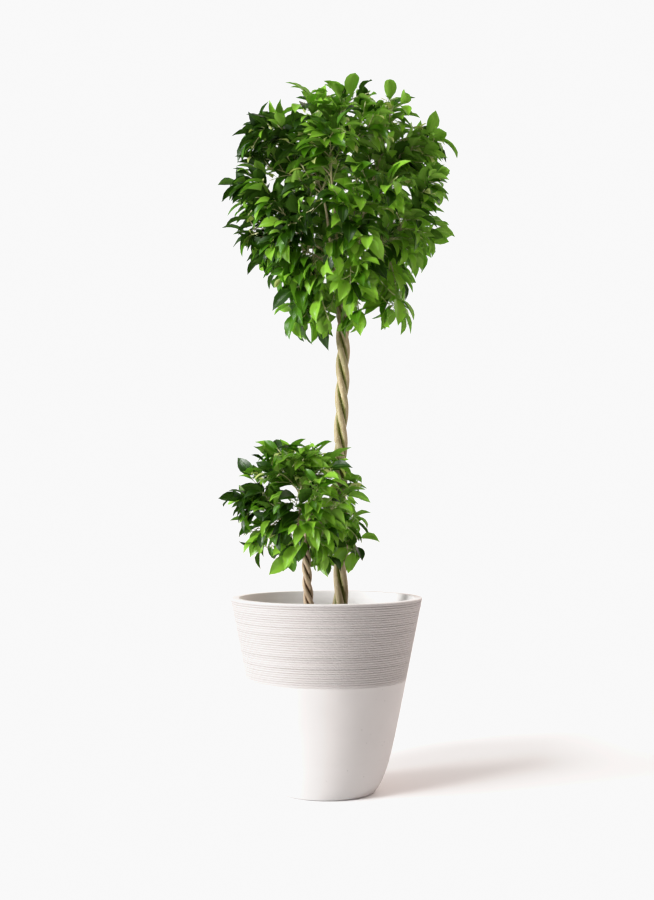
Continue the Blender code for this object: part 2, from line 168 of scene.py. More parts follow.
def new_finish(name, colour, roughness, **more):
    """A new material with its Principled shader. Returns it, its node tree and the shader."""
    made = bpy.data.materials.new(name)
    made.use_nodes = True
    made.diffuse_color = (*colour, 1)
    shader = made.node_tree.nodes["Principled BSDF"]
    values = {"Base Color": (*colour, 1), "Roughness": roughness, **more}
    for key, value in values.items():
        shader.inputs[key].default_value = value
    return made, made.node_tree, shader


def stretched(tree, scale):
    """The piece's own coordinates, stretched by scale along each axis."""
    place = put(tree, "ShaderNodeTexCoord").outputs["Object"]
    return put(tree, "ShaderNodeMapping", {"Vector": place, "Scale": scale}).outputs[0]


def noisy(tree, place, scale, detail=3.0, roughness=0.5):
    inputs = {"Vector": place, "Scale": scale, "Detail": detail, "Roughness": roughness}
    return put(tree, "ShaderNodeTexNoise", inputs).outputs[0]


def blended(tree, share, one, other):
    """A colour between two colours."""
    colours = [c if isinstance(c, bpy.types.NodeSocket) else (*c, 1) for c in (one, other)]
    inputs = {0: share, 6: colours[0], 7: colours[1]}
    return put(tree, "ShaderNodeMix", inputs, data_type="RGBA").outputs[2]


def shaded(tone, by):
    """A colour made darker or lighter."""
    return tuple(c * by for c in tone)


def moulded_stone(name, colour, roughness, pit_size, pit_share, streak):
    """Matt stone-powder resin: cloudy, with fine grain, level comb marks and scattered pits, each pit darkened towards
    its middle with painted shade.
    """
    made, tree, shader = new_finish(name, colour, roughness)
    clouds = spread(tree, noisy(tree, stretched(tree, (7, 7, 7)), 1.0), 0.3, 0.7)
    tone = blended(tree, clouds, shaded(colour, 0.965), shaded(colour, 1.03))
    marks = spread(tree, noisy(tree, stretched(tree, (0.25, 0.25, 120)), 1.0, 2.0), 0.35, 0.65)
    tone = blended(tree, sum_up(tree, "MULTIPLY", marks, streak), tone, shaded(colour, 0.70))
    inputs = {"Vector": stretched(tree, (1, 1, 1)), "Scale": 1 / pit_size}
    cells = put(tree, "ShaderNodeTexVoronoi", inputs).outputs
    chosen = sum_up(tree, "LESS_THAN", put(tree, "ShaderNodeSeparateColor", {0: cells["Color"]}).outputs[0], pit_share)
    pit_depth_and_shade = sum_up(tree, "MULTIPLY", chosen, spread(tree, cells["Distance"], 0.10, 0.30, 1.0, 0.0))
    # Painted shade: each pit's colour is darkened towards its middle, as if shade fell in it.
    tone = blended(tree, sum_up(tree, "MULTIPLY", pit_depth_and_shade, 0.6), tone, shaded(colour, 0.35))
    tree.links.new(tone, shader.inputs["Base Color"])
    grain = noisy(tree, stretched(tree, (900, 900, 900)), 1.0, 2.0)
    height = sum_up(tree, "SUBTRACT", sum_up(tree, "MULTIPLY", grain, 0.25), pit_depth_and_shade)
    height = sum_up(tree, "ADD", height, sum_up(tree, "MULTIPLY", marks, streak * 2))
    bump = put(tree, "ShaderNodeBump", {"Strength": 0.5, "Distance": 0.0003, "Height": height})
    tree.links.new(bump.outputs[0], shader.inputs["Normal"])
    return made


def pot_outside(height):
    """The pot's outer radius at a height: a cone that tucks in ever faster towards its foot."""
    cone = RIM_RADIUS - CONE_SLOPE * (POT_HEIGHT - height)
    return cone - FOOT_TUCK * math.exp(-height / TUCK_HEIGHT)


def pot_inside(height):
    swell = (LIP_WIDTH - WALL) * (height / POT_HEIGHT) ** WALL_SWELL_POWER
    return pot_outside(height) - WALL - swell


def turned(name, profile, segments):
    """Turns an outline of (radius, height) points, which starts and ends on the axis, round the Z axis."""
    verts = []
    for radius, height in profile[1:-1]:
        for k in range(segments):
            angle = TURN * k / segments
            verts.append((radius * math.cos(angle), radius * math.sin(angle), height))
    faces = []
    for ring in range(len(profile) - 3):
        for k in range(segments):
            after = (k + 1) % segments
            low, high = ring * segments, (ring + 1) * segments
            faces.append((low + k, low + after, high + after, high + k))
    first, last, top = len(verts), len(verts) + 1, len(verts) - segments
    verts += [(0, 0, profile[0][1]), (0, 0, profile[-1][1])]
    for k in range(segments):
        after = (k + 1) % segments
        faces.append((first, after, k))
        faces.append((last, top + k, top + after))
    return new_piece(name, verts, faces)


def rounded(middle, start, steps):
    """A quarter turn of the lip's rounding about a middle, from a start angle on."""
    turns = [math.radians(start + 90 * k / steps) for k in range(steps + 1)]
    return [(middle[0] + LIP_ROUND * math.cos(a), middle[1] + LIP_ROUND * math.sin(a)) for a in turns]


def pot_profile():
    outer = [(pot_outside(0) - 2 * FOOT_ROUND, 0), (pot_outside(0) - FOOT_ROUND, FOOT_RISE)]
    outer += [(pot_outside(TUCK_HEIGHT * ring), TUCK_HEIGHT * ring) for ring in TUCK_RINGS]
    outer += [
        (pot_outside(BAND_FOOT - BAND_GROOVE), BAND_FOOT - BAND_GROOVE),
        (pot_outside(BAND_FOOT) - BAND_GROOVE, BAND_FOOT),
    ]
    ribs = round((RIB_TOP - BAND_FOOT - BAND_GROOVE) / RIB_PITCH)
    for rib in range(ribs):
        for phase in RIB_RINGS:
            height = BAND_FOOT + BAND_GROOVE + (rib + phase) * RIB_PITCH
            outer.append((pot_outside(height), height))
    level = POT_HEIGHT - LIP_ROUND
    lip = rounded((pot_outside(level) - LIP_ROUND, level), 0, LIP_STEPS)
    lip += rounded((RIM_RADIUS - LIP_WIDTH + LIP_ROUND, level), 90, LIP_STEPS)
    inner = [(pot_inside(height), height) for height in INNER_HEIGHTS]
    return [(0, 0), *outer, *lip, *inner, (0, FLOOR)]


def rib_tree():
    """Presses level grooves into the outside of a turned wall, of uneven depth, between two heights, and gives the
    inside and the lip's top a whiter finish, which is painted light.
    """
    kinds = {"Band foot": "Float", "Band top": "Float", "Rib pitch": "Float", "Rib depth": "Float"}
    kinds.update({"Smooth": "Material", "Ribbed": "Material", "Inner": "Material"})
    tree, given, out = shape_tree("combed_ribs", kinds)
    place = put(tree, "GeometryNodeInputPosition").outputs[0]
    axes = put(tree, "ShaderNodeSeparateXYZ", {0: place}).outputs
    level = put(tree, "ShaderNodeCombineXYZ", {0: axes[0], 1: axes[1]}).outputs[0]
    outward = put(tree, "ShaderNodeVectorMath", {0: level}, operation="NORMALIZE").outputs[0]
    facing = put(tree, "GeometryNodeInputNormal").outputs[0]
    faces_out = put(tree, "ShaderNodeVectorMath", {0: facing, 1: outward}, operation="DOT_PRODUCT")
    above = sum_up(tree, "GREATER_THAN", axes[2], given["Band foot"])
    below = sum_up(tree, "LESS_THAN", axes[2], given["Band top"])
    band = sum_up(tree, "MULTIPLY", above, below)
    band = sum_up(tree, "MULTIPLY", band, sum_up(tree, "GREATER_THAN", faces_out.outputs["Value"], 0.3))
    ribs = sum_up(tree, "DIVIDE", sum_up(tree, "SUBTRACT", axes[2], given["Band foot"]), given["Rib pitch"])
    crest = sum_up(tree, "SINE", sum_up(tree, "MULTIPLY", sum_up(tree, "FRACT", ribs), math.pi))
    groove = sum_up(tree, "POWER", sum_up(tree, "SUBTRACT", 1.0, crest), 1.5)
    drawn_out = put(tree, "ShaderNodeVectorMath", {0: place, 1: (0.3, 0.3, 150)}, operation="MULTIPLY").outputs[0]
    uneven = spread(tree, noisy(tree, drawn_out, 1.0, 1.0), 0.3, 0.7, 0.55, 1.5)
    depth = sum_up(tree, "MULTIPLY", sum_up(tree, "MULTIPLY", groove, uneven), given["Rib depth"])
    inward = sum_up(tree, "MULTIPLY", sum_up(tree, "MULTIPLY", depth, band), -1.0)
    push = put(tree, "ShaderNodeVectorMath", {0: outward, "Scale": inward}, operation="SCALE").outputs[0]
    wall = put(tree, "GeometryNodeSetPosition", {"Geometry": given["Geometry"], "Offset": push}).outputs[0]
    smooth = put(tree, "GeometryNodeSetShadeSmooth", {0: wall}).outputs[0]
    plain = put(tree, "GeometryNodeSetMaterial", {0: smooth, 2: given["Smooth"]}).outputs[0]
    combed = put(tree, "GeometryNodeSetMaterial", {0: plain, 1: band, 2: given["Ribbed"]}).outputs[0]
    # Painted light: faces above the band's foot that look inwards or up, the inside wall and lip top, get the whiter
    # finish.
    faces_in = sum_up(tree, "LESS_THAN", faces_out.outputs["Value"], 0.4)
    painted_light_inside = sum_up(tree, "MULTIPLY", faces_in, above)
    lined = put(tree, "GeometryNodeSetMaterial", {0: combed, 1: painted_light_inside, 2: given["Inner"]}).outputs[0]
    tree.links.new(lined, out.inputs[0])
    return tree


pot = turned("pot_shell", pot_profile(), POT_SEGMENTS)
pot = shaped(pot, rib_tree(), {
    "Band foot": BAND_FOOT + BAND_GROOVE,
    "Band top": RIB_TOP,
    "Rib pitch": RIB_PITCH,
    "Rib depth": RIB_DEPTH,
    "Smooth": moulded_stone("pot_white", POT_WHITE, 0.62, 0.0042, 0.012, 0.03),
    "Ribbed": moulded_stone("pot_band", BAND_GREY, 0.75, 0.0034, 0.055, 0.30),
    "Inner": moulded_stone("pot_lining", INNER_PAINTED_LIGHT_WHITE, 0.65, 0.0034, 0.010, 0.10),
})
pot.data.set_sharp_from_angle(angle=SHARP_EDGE)
kept(pot, "pot", "pot")


# The potting mix. The real root ball is set in dark, crumbly peat and bark, which fills the pot to some
# way below its lip. Its top is uneven, with bark chips lying on it.

SOIL_LEVEL = 0.312
SOIL_EDGE = 0.006
SOIL_SEGMENTS = 120
SOIL_RINGS = 36
SOIL_CRUMBS = 0.0022
SOIL_COLOUR = (0.052, 0.033, 0.021)
CHIP_COLOUR = (0.115, 0.066, 0.036)
CHIP_SHAPES = 5
CHIP_SIZE = 0.0052
CHIPS_PER_M2 = 21000
GAP = 0.0003
UP = Vector((0, 0, 1))


def crumbly(name, colour, roughness, size):
    """Peat or bark: matt, broken into darker and lighter crumbs of that size."""
    made, tree, shader = new_finish(name, colour, roughness)
    crumbs = noisy(tree, stretched(tree, (1, 1, 1)), 1 / size, 6.0, 0.7)
    tone = blended(tree, spread(tree, crumbs, 0.3, 0.7), shaded(colour, 0.45), shaded(colour, 1.7))
    tree.links.new(tone, shader.inputs["Base Color"])
    bump = put(tree, "ShaderNodeBump", {"Strength": 0.8, "Distance": size / 4, "Height": crumbs})
    tree.links.new(bump.outputs[0], shader.inputs["Normal"])
    return made


def lump_tree():
    """Heaves the top of the soil up and down in crumbs."""
    tree, given, out = shape_tree("crumbly_top", {"Level": "Float", "Crumbs": "Float", "Soil": "Material"})
    place = put(tree, "GeometryNodeInputPosition").outputs[0]
    height = put(tree, "ShaderNodeSeparateXYZ", {0: place}).outputs[2]
    on_top = sum_up(tree, "GREATER_THAN", height, sum_up(tree, "SUBTRACT", given["Level"], 0.001))
    lumps = sum_up(tree, "SUBTRACT", noisy(tree, place, 90.0, 4.0, 0.6), 0.55)
    rise = sum_up(tree, "MULTIPLY", lumps, sum_up(tree, "MULTIPLY", given["Crumbs"], 5.0))
    push = put(tree, "ShaderNodeCombineXYZ", {2: rise}).outputs[0]
    inputs = {"Geometry": given["Geometry"], "Selection": on_top, "Offset": push}
    heaved = put(tree, "GeometryNodeSetPosition", inputs).outputs[0]
    smooth = put(tree, "GeometryNodeSetShadeSmooth", {0: heaved}).outputs[0]
    tree.links.new(put(tree, "GeometryNodeSetMaterial", {0: smooth, 2: given["Soil"]}).outputs[0], out.inputs[0])
    return tree


def chip_tree():
    """Scatters chips from a collection over the level faces of a mesh, turned every way."""
    kinds = {"Chips": "Collection", "Density": "Float", "Level": "Float", "Seed": "Int", "Bark": "Material"}
    tree, given, out = shape_tree("scattered_chips", kinds)
    height = put(tree, "ShaderNodeSeparateXYZ", {0: put(tree, "GeometryNodeInputPosition").outputs[0]}).outputs[2]
    on_top = sum_up(tree, "GREATER_THAN", height, given["Level"])
    inputs = {"Mesh": given["Geometry"], "Selection": on_top, "Density": given["Density"], "Seed": given["Seed"]}
    points = put(tree, "GeometryNodeDistributePointsOnFaces", inputs).outputs[0]
    chips = put(tree, "GeometryNodeCollectionInfo", {0: given["Chips"], 1: True, 2: True}).outputs[0]
    inputs = {0: (0, 0, 0), 1: (TURN, TURN, TURN), "Seed": given["Seed"]}
    turns = put(tree, "FunctionNodeRandomValue", inputs, data_type="FLOAT_VECTOR").outputs[0]
    sizes = put(tree, "FunctionNodeRandomValue", {2: 0.45, 3: 1.7, "Seed": given["Seed"]}).outputs[1]
    inputs = {"Points": points, "Instance": chips, "Pick Instance": True, "Rotation": turns, "Scale": sizes}
    placed = put(tree, "GeometryNodeInstanceOnPoints", inputs).outputs[0]
    real = put(tree, "GeometryNodeRealizeInstances", {0: placed}).outputs[0]
    tree.links.new(put(tree, "GeometryNodeSetMaterial", {0: real, 2: given["Bark"]}).outputs[0], out.inputs[0])
    return tree


def chip_shapes(draw):
    """A few broken, flat bits of bark of a score of faces each, in a collection of their own."""
    heap = bpy.data.collections.new("chips")
    for number in range(CHIP_SHAPES):
        shape = bmesh.new()
        bmesh.ops.create_icosphere(shape, subdivisions=1, radius=CHIP_SIZE / 2)
        sides = Vector((draw.uniform(0.8, 1.5), draw.uniform(0.5, 0.9), draw.uniform(0.25, 0.5)))
        for vert in shape.verts:
            vert.co = vert.co * draw.uniform(0.8, 1.25) * sides
        mesh = bpy.data.meshes.new(f"chip_{number}")
        shape.to_mesh(mesh)
        shape.free()
        heap.objects.link(bpy.data.objects.new(mesh.name, mesh))
    return heap


def cleared(heap):
    """Removes a collection of pattern shapes once they have been copied into a piece."""
    for pattern in list(heap.objects):
        bpy.data.objects.remove(pattern)
    bpy.data.collections.remove(heap)


def soil_profile():
    def wall(height):
        return pot_inside(height) - GAP

    heights = (FLOOR + GAP, 0.0435, 0.150, 0.270, SOIL_LEVEL - SOIL_EDGE)
    sides = [(wall(z), z) for z in heights]
    edge = wall(SOIL_LEVEL) - SOIL_EDGE
    top = [(edge * (1 - k / SOIL_RINGS), SOIL_LEVEL) for k in range(SOIL_RINGS)]
    return [(0, FLOOR + GAP), *sides, *top, (0, SOIL_LEVEL)]


soil = turned("potting_mix", soil_profile(), SOIL_SEGMENTS)
chips = new_piece("bark_chips", [], [])
chips.data = soil.data
peat = crumbly("peat", SOIL_COLOUR, 0.95, 0.004)
soil = shaped(soil, lump_tree(), {"Level": SOIL_LEVEL, "Crumbs": SOIL_CRUMBS, "Soil": peat})
chip_heap = chip_shapes(random.Random(3))
chips = shaped(chips, chip_tree(), {
    "Chips": chip_heap,
    "Density": CHIPS_PER_M2,
    "Level": SOIL_LEVEL - GAP,
    "Seed": 4,
    "Bark": crumbly("chip_bark", CHIP_COLOUR, 0.85, 0.002),
})
cleared(chip_heap)
for piece in (soil, chips):
    kept(piece, "soil", "soil")


# The stems. Each of the real plant's two stems is three young trunks twisted together while they were
# soft. Their bark is smooth and pale tan, olive green in the grooves, with faint rings and leaf scars. The
# grooves between the strands are also coloured darker, which is painted shade.

STRANDS = 3
STRAND_GAP = 0.0005
STRAND_PACKING = 0.972
FLARE = 0.31
FLARE_HEIGHT = 0.045
WOBBLE_WAVES = 1.5
SPLAY_LEAN = 0.45
SPLAY_BEND = 0.4
SPLAY_STEPS = 12
STRAND_SIDES = 20
STRAND_STEP = 0.0025
STRAND_SUNK = 0.009
STRAND_RELIEF = 0.00055
SCAR_WIDTH = 0.0042
SCAR_RISE = 0.0011
BARK_TAN = (0.43, 0.36, 0.215)
# Olive and umber: the bark's own tone in patches, and painted shade in the grooves between strands.
BARK_OLIVE_AND_GROOVE_SHADE = (0.150, 0.155, 0.030)
BARK_BROWN = (0.20, 0.12, 0.050)
BARK_CREAM = (0.56, 0.44, 0.30)
BARK_UMBER_AND_GROOVE_SHADE = (0.110, 0.058, 0.022)
LENTICEL = (0.66, 0.60, 0.46)

TALL = SimpleNamespace(
    name="tall",
    foot=Vector((0.025, 0.020, SOIL_LEVEL + GAP)),
    neck=Vector((0.031, 0.020, 0.925)),
    wobble=0.0015,
    strand_radius=0.0061,
    pitch_low=0.240,
    pitch_high=0.150,
    strand_at_right=0.7097,
    splay_radius=0.022,
    splay_rise=0.056,
    scars=((0.828, 6), (0.737, 4), (0.655, -50), (0.560, 25), (0.47, -8), (0.88, 70), (0.60, 130), (0.78, 190)),
)

LOW = SimpleNamespace(
    name="low",
    foot=Vector((-0.0300, -0.032, SOIL_LEVEL + GAP)),
    neck=Vector((-0.0390, -0.036, 0.452)),
    wobble=0.0005,
    strand_radius=0.0040,
    pitch_low=0.100,
    pitch_high=0.085,
    strand_at_right=0.372,
    splay_radius=0.013,
    splay_rise=0.030,
    scars=((0.39, 10), (0.425, -60)),
)


def bezier(points, share):
    """The point at that share of a Bezier curve through any number of control points."""
    while len(points) > 1:
        points = [a.lerp(b, share) for a, b in zip(points, points[1:])]
    return points[0]


def curve_through(points, steps):
    return [bezier(points, k / steps) for k in range(steps + 1)]


def flat(angle):
    return Vector((math.cos(angle), math.sin(angle), 0))


def twist(head, height):
    """The angle that a strand has turned at a height. The turns draw closer together upwards."""
    slope = (head.pitch_high - head.pitch_low) / (head.neck.z - head.foot.z)
    pitch = head.pitch_low + slope * (height - head.foot.z)
    return TURN / slope * math.log(pitch / head.pitch_low)


def strand_radius(head, height):
    return head.strand_radius * (1 + FLARE * math.exp((head.foot.z - height) / FLARE_HEIGHT))


def strand_angle(head, strand, height):
    """Upwards the strands turn clockwise as seen from above, so they fall to the right in front."""
    return TURN * strand / STRANDS - twist(head, height) + twist(head, head.strand_at_right)


def stem_middle(head, height):
    share = (height - head.foot.z) / (head.neck.z - head.foot.z)
    middle = head.foot.lerp(head.neck, share)
    middle.x += head.wobble * math.sin(TURN * WOBBLE_WAVES * share)
    return middle


def strand_point(head, strand, height):
    ring = (2 * strand_radius(head, height) + STRAND_GAP) / (math.sqrt(3) * STRAND_PACKING)
    return stem_middle(head, height) + flat(strand_angle(head, strand, height)) * ring


def strand_path(head, strand):
    """The twisted run from just under the soil to the neck, then the splayed end, and which way it splays."""
    foot = head.foot.z - STRAND_SUNK
    steps = round((head.neck.z - foot) / STRAND_STEP)
    path = [strand_point(head, strand, foot + (head.neck.z - foot) * k / steps) for k in range(steps + 1)]
    outward = flat(strand_angle(head, strand, head.neck.z))
    heading = (path[-1] - path[-2]).normalized()
    tip = head.neck + outward * head.splay_radius + UP * head.splay_rise
    lean = (outward * SPLAY_LEAN + UP).normalized()
    bend = head.splay_rise * SPLAY_BEND
    ends = [path[-1], path[-1] + heading * bend, tip - lean * bend, tip]
    return path + curve_through(ends, SPLAY_STEPS)[1:], outward


def limb_lines(name, lines):
    """An object of bare lines. Each point carries its radius, the way out from its stem and its youth."""
    verts, edges, thick, out, young = [], [], [], [], []
    for line in lines:
        first = len(verts)
        verts += line.path
        edges += [(first + k, first + k + 1) for k in range(len(line.path) - 1)]
        thick += line.radii
        out += line.outward
        young += line.young
    obj = new_piece(name, verts, [], edges)
    obj.data.attributes.new("thick", "FLOAT", "POINT").data.foreach_set("value", thick)
    obj.data.attributes.new("young", "FLOAT", "POINT").data.foreach_set("value", young)
    outward = obj.data.attributes.new("outward", "FLOAT_VECTOR", "POINT")
    outward.data.foreach_set("vector", [number for vector in out for number in vector])
    return obj


def named(tree, name, kind):
    return put(tree, "GeometryNodeInputNamedAttribute", {0: name}, data_type=kind).outputs[0]


def limb_tree():
    """Gives lines their round limbs, notes how far each spot lies in the groove, and roughens the bark."""
    kinds = {"Sides": "Int", "Relief": "Float", "Relief size": "Float", "Bark": "Material"}
    tree, given, out = shape_tree("round_limbs", kinds)
    lines = put(tree, "GeometryNodeMeshToCurve", {0: given["Geometry"]}).outputs[0]
    ring = put(tree, "GeometryNodeCurvePrimitiveCircle", {"Resolution": given["Sides"], "Radius": 1.0}).outputs[0]
    inputs = {"Curve": lines, "Profile Curve": ring, "Scale": named(tree, "thick", "FLOAT"), "Fill Caps": True}
    skin = put(tree, "GeometryNodeCurveToMesh", inputs).outputs[0]
    facing = put(tree, "GeometryNodeInputNormal").outputs[0]
    inputs = {0: facing, 1: named(tree, "outward", "FLOAT_VECTOR")}
    turned_out = put(tree, "ShaderNodeVectorMath", inputs, operation="DOT_PRODUCT").outputs["Value"]
    inputs = {0: skin, "Name": "groove", "Value": spread(tree, turned_out, 0.45, -0.35)}
    marked = put(tree, "GeometryNodeStoreNamedAttribute", inputs).outputs[0]
    place = put(tree, "GeometryNodeInputPosition").outputs[0]
    along = put(tree, "ShaderNodeVectorMath", {0: place, 1: (1, 1, 0.3)}, operation="MULTIPLY").outputs[0]
    rough = sum_up(tree, "SUBTRACT", noisy(tree, along, given["Relief size"], 3.0, 0.55), 0.5)
    inputs = {0: facing, "Scale": sum_up(tree, "MULTIPLY", rough, given["Relief"])}
    push = put(tree, "ShaderNodeVectorMath", inputs, operation="SCALE").outputs[0]
    rough = put(tree, "GeometryNodeSetPosition", {"Geometry": marked, "Offset": push}).outputs[0]
    smooth = put(tree, "GeometryNodeSetShadeSmooth", {0: rough}).outputs[0]
    tree.links.new(put(tree, "GeometryNodeSetMaterial", {0: smooth, 2: given["Bark"]}).outputs[0], out.inputs[0])
    return tree


def attribute(tree, name):
    return put(tree, "ShaderNodeAttribute", attribute_name=name).outputs["Fac"]


def bark_finish(name, tan, tone_and_groove_shade):
    """Smooth young bark: tan, with fine brown streaks along it, pale lenticels, and patches and grooves of a darker
    second tone, which in the grooves is partly the bark's own olive and partly painted shade.
    """
    made, tree, shader = new_finish(name, tan, 0.62)
    streaks = noisy(tree, stretched(tree, (1, 1, 0.12)), 420.0, 4.0, 0.6)
    tone = blended(tree, spread(tree, streaks, 0.35, 0.75, 0.0, 0.75), tan, BARK_BROWN)
    clouds = noisy(tree, stretched(tree, (1, 1, 0.35)), 45.0, 2.0)
    tone = blended(tree, spread(tree, clouds, 0.45, 0.75, 0.0, 0.55), tone, tone_and_groove_shade)
    # Partly painted shade: the grooves between the strands take the darker second tone.
    groove = attribute(tree, "groove")
    edge = sum_up(tree, "ADD", groove, sum_up(tree, "MULTIPLY", sum_up(tree, "SUBTRACT", streaks, 0.5), 0.8))
    tone = blended(tree, spread(tree, edge, 0.25, 0.75), tone, tone_and_groove_shade)
    inputs = {"Vector": stretched(tree, (1, 1, 0.6)), "Scale": 330.0}
    cells = put(tree, "ShaderNodeTexVoronoi", inputs).outputs
    chosen = sum_up(tree, "LESS_THAN", put(tree, "ShaderNodeSeparateColor", {0: cells["Color"]}).outputs[0], 0.16)
    spots = sum_up(tree, "MULTIPLY", chosen, spread(tree, cells["Distance"], 0.12, 0.30, 1.0, 0.0))
    tone = blended(tree, sum_up(tree, "MULTIPLY", spots, 0.8), tone, LENTICEL)
    tree.links.new(tone, shader.inputs["Base Color"])
    height = sum_up(tree, "ADD", sum_up(tree, "MULTIPLY", streaks, 0.7), spots)
    bump = put(tree, "ShaderNodeBump", {"Strength": 0.6, "Distance": 0.0004, "Height": height})
    tree.links.new(bump.outputs[0], shader.inputs["Normal"])
    return made


def scarred(head, obj):
    """Raises the leaf scars on the bark: small rings round a dimple, at their heights and bearings."""
    for height, bearing in head.scars:
        way = flat(math.radians(bearing - 90))
        spot = stem_middle(head, height) + way * head.strand_radius * 2
        for vert in obj.data.vertices:
            off = (vert.co - spot).length / SCAR_WIDTH
            if off < 2 and vert.normal.dot(way) > 0:
                vert.co += vert.normal * SCAR_RISE * math.exp(-((off - 0.75) / 0.35) ** 2)


limbs = limb_tree()
TALL.bark = bark_finish("young_bark", BARK_TAN, BARK_OLIVE_AND_GROOVE_SHADE)
LOW.bark = bark_finish("thin_bark", BARK_CREAM, BARK_UMBER_AND_GROOVE_SHADE)
for head in (TALL, LOW):
    strands = []
    for number in range(STRANDS):
        path, _ = strand_path(head, number)
        ways = [flat(strand_angle(head, number, min(point.z, head.neck.z))) for point in path]
        radii = [strand_radius(head, max(point.z, head.foot.z)) for point in path]
        strands.append(SimpleNamespace(path=path, radii=radii, outward=ways, young=[0.0] * len(path)))
    stem = limb_lines(f"{head.name}_stem", strands)
    sizes = {"Sides": STRAND_SIDES, "Relief": STRAND_RELIEF, "Relief size": 260.0, "Bark": head.bark}
    stem = shaped(stem, limbs, sizes)
    scarred(head, stem)
    kept(stem, "bark", *[f"{head.name}_strand_{number + 1}" for number in range(STRANDS)])


# The boughs. Above the neck the real strands part and fork, and each fork runs up into its own share of
# the head. They are pruned wood of the same bark, hidden by leaves but for glimpses from below.

BOUGH_SHARES = {1: 0.62, 2: 0.47, 3: 0.44}
BOUGH_TAPER = 0.85
BOUGH_BEND = 0.35
BOUGH_STEPS = 14
BOUGH_SIDES = 12

TALL.centre = Vector((0.027, 0.020, 1.112))
TALL.side_ring = SimpleNamespace(radius=0.105, rise=-0.055, turns=(-30, 30))
TALL.top_ring = SimpleNamespace(radius=0.070, rise=0.100)
TALL.top_strands = (0, 1, 2)
TALL.bough_share = 0.46
LOW.centre = Vector((-0.047, -0.042, 0.542))
LOW.side_ring = SimpleNamespace(radius=0.060, rise=-0.026, turns=(0,))
LOW.top_ring = SimpleNamespace(radius=0.0, rise=0.040)
LOW.top_strands = (1,)
LOW.bough_share = 0.45


def mass_plan(head):
    """Every mass of a head: the middle of its cell, and the seat of its bough on a strand's end."""
    plan = []
    for number in range(STRANDS):
        path, outward = strand_path(head, number)
        middles = []
        if number in head.top_strands:
            middles.append(head.centre + outward * head.top_ring.radius + UP * head.top_ring.rise)
        for turn in head.side_ring.turns:
            angle = math.atan2(outward.y, outward.x) + math.radians(turn)
            middles.append(head.centre + flat(angle) * head.side_ring.radius + UP * head.side_ring.rise)
        radius = head.strand_radius * BOUGH_SHARES[len(middles)]
        heading = (path[-1] - path[-2]).normalized()
        inward = heading.cross(UP.cross(outward)) * (head.strand_radius - radius) * (len(middles) > 1)
        for k, middle in enumerate(middles):
            offset = inward.copy()
            offset.rotate(Quaternion(heading, TURN * k / len(middles)))
            seat = path[-1] + offset
            plan.append(SimpleNamespace(
                name=f"{head.name}_{len(plan) + 1}", middle=middle, seat=seat, heading=heading, radius=radius,
            ))
    return plan


def bough_path(head, mass):
    """From just inside the strand's end it bends over towards the middle of its mass."""
    end = mass.seat.lerp(mass.middle, head.bough_share)
    reach = (end - mass.seat).length
    start = mass.seat - mass.heading * mass.radius
    return curve_through([start, mass.seat + mass.heading * reach * BOUGH_BEND, end], BOUGH_STEPS)


def tapering(thick, taper, steps):
    """Radii that shrink evenly from thick to that share of it."""
    return [thick * (1 - (1 - taper) * k / steps) for k in range(steps + 1)]


def limb_line(path, radii, young=(0.0, 0.0)):
    """One line for the limb tree, as young at either end as the two shares say."""
    steps = len(path) - 1
    shares = [young[0] + (young[1] - young[0]) * k / steps for k in range(steps + 1)]
    return SimpleNamespace(path=path, radii=radii, outward=[Vector((0, 0, 1))] * len(path), young=shares)


for head in (TALL, LOW):
    head.masses = mass_plan(head)
    lines = []
    for mass in head.masses:
        mass.bough = bough_path(head, mass)
        lines.append(limb_line(mass.bough, tapering(mass.radius, BOUGH_TAPER, BOUGH_STEPS)))
    boughs = limb_lines(f"{head.name}_boughs", lines)
    sizes = {"Sides": BOUGH_SIDES, "Relief": STRAND_RELIEF / 2, "Relief size": 300.0, "Bark": head.bark}
    boughs = shaped(boughs, limbs, sizes)
    kept(boughs, "bark", *[mass.name.replace("_", "_bough_") for mass in head.masses])


# The twigs. In the real heads a stem runs on from each bough and parts into many thin shoots, which
# sweep out to an even, clipped outline and bear short side twigs. They are tan at the root and green at
# the end, a little swollen at every leaf.

STEM_STEPS = 10
STEM_TAPER = 0.45
STEM_BARE = 0.25
STEM_PULL = 0.45
STEM_SIDES = 8
TWIG_STEPS = 12
TWIG_HANDLE = 1 / 3
TWIG_AIM = 2
TWIG_ARCH = 0.12
TWIG_TAPER = 0.50
TWIG_SIDES = 6
TWIG_SWELL = 1.25
SHOOT_SHARES = (0.82, 1.07)
CELL_MARGIN = 0.0006
LIMB_MARGIN = 0.0015
SIDE_TWIG_PLACES = (0.10, 0.96)
SIDE_TWIG_SPACING = 0.0125
SIDE_TWIG_LENGTHS = (0.026, 0.060)
SIDE_TWIG_SLANT = 0.9
SIDE_TWIG_STEPS = 6
TWIG_GREEN = (0.40, 0.45, 0.16)
TWIG_TAN = (0.40, 0.35, 0.18)
BUD_GREEN = (0.60, 0.62, 0.32)
BUD_LENGTH = 0.014
SIDE_BUD = 0.7
BUD_SHAPE = (0.5, 1.0, 0.95, 0.55, 0.12)

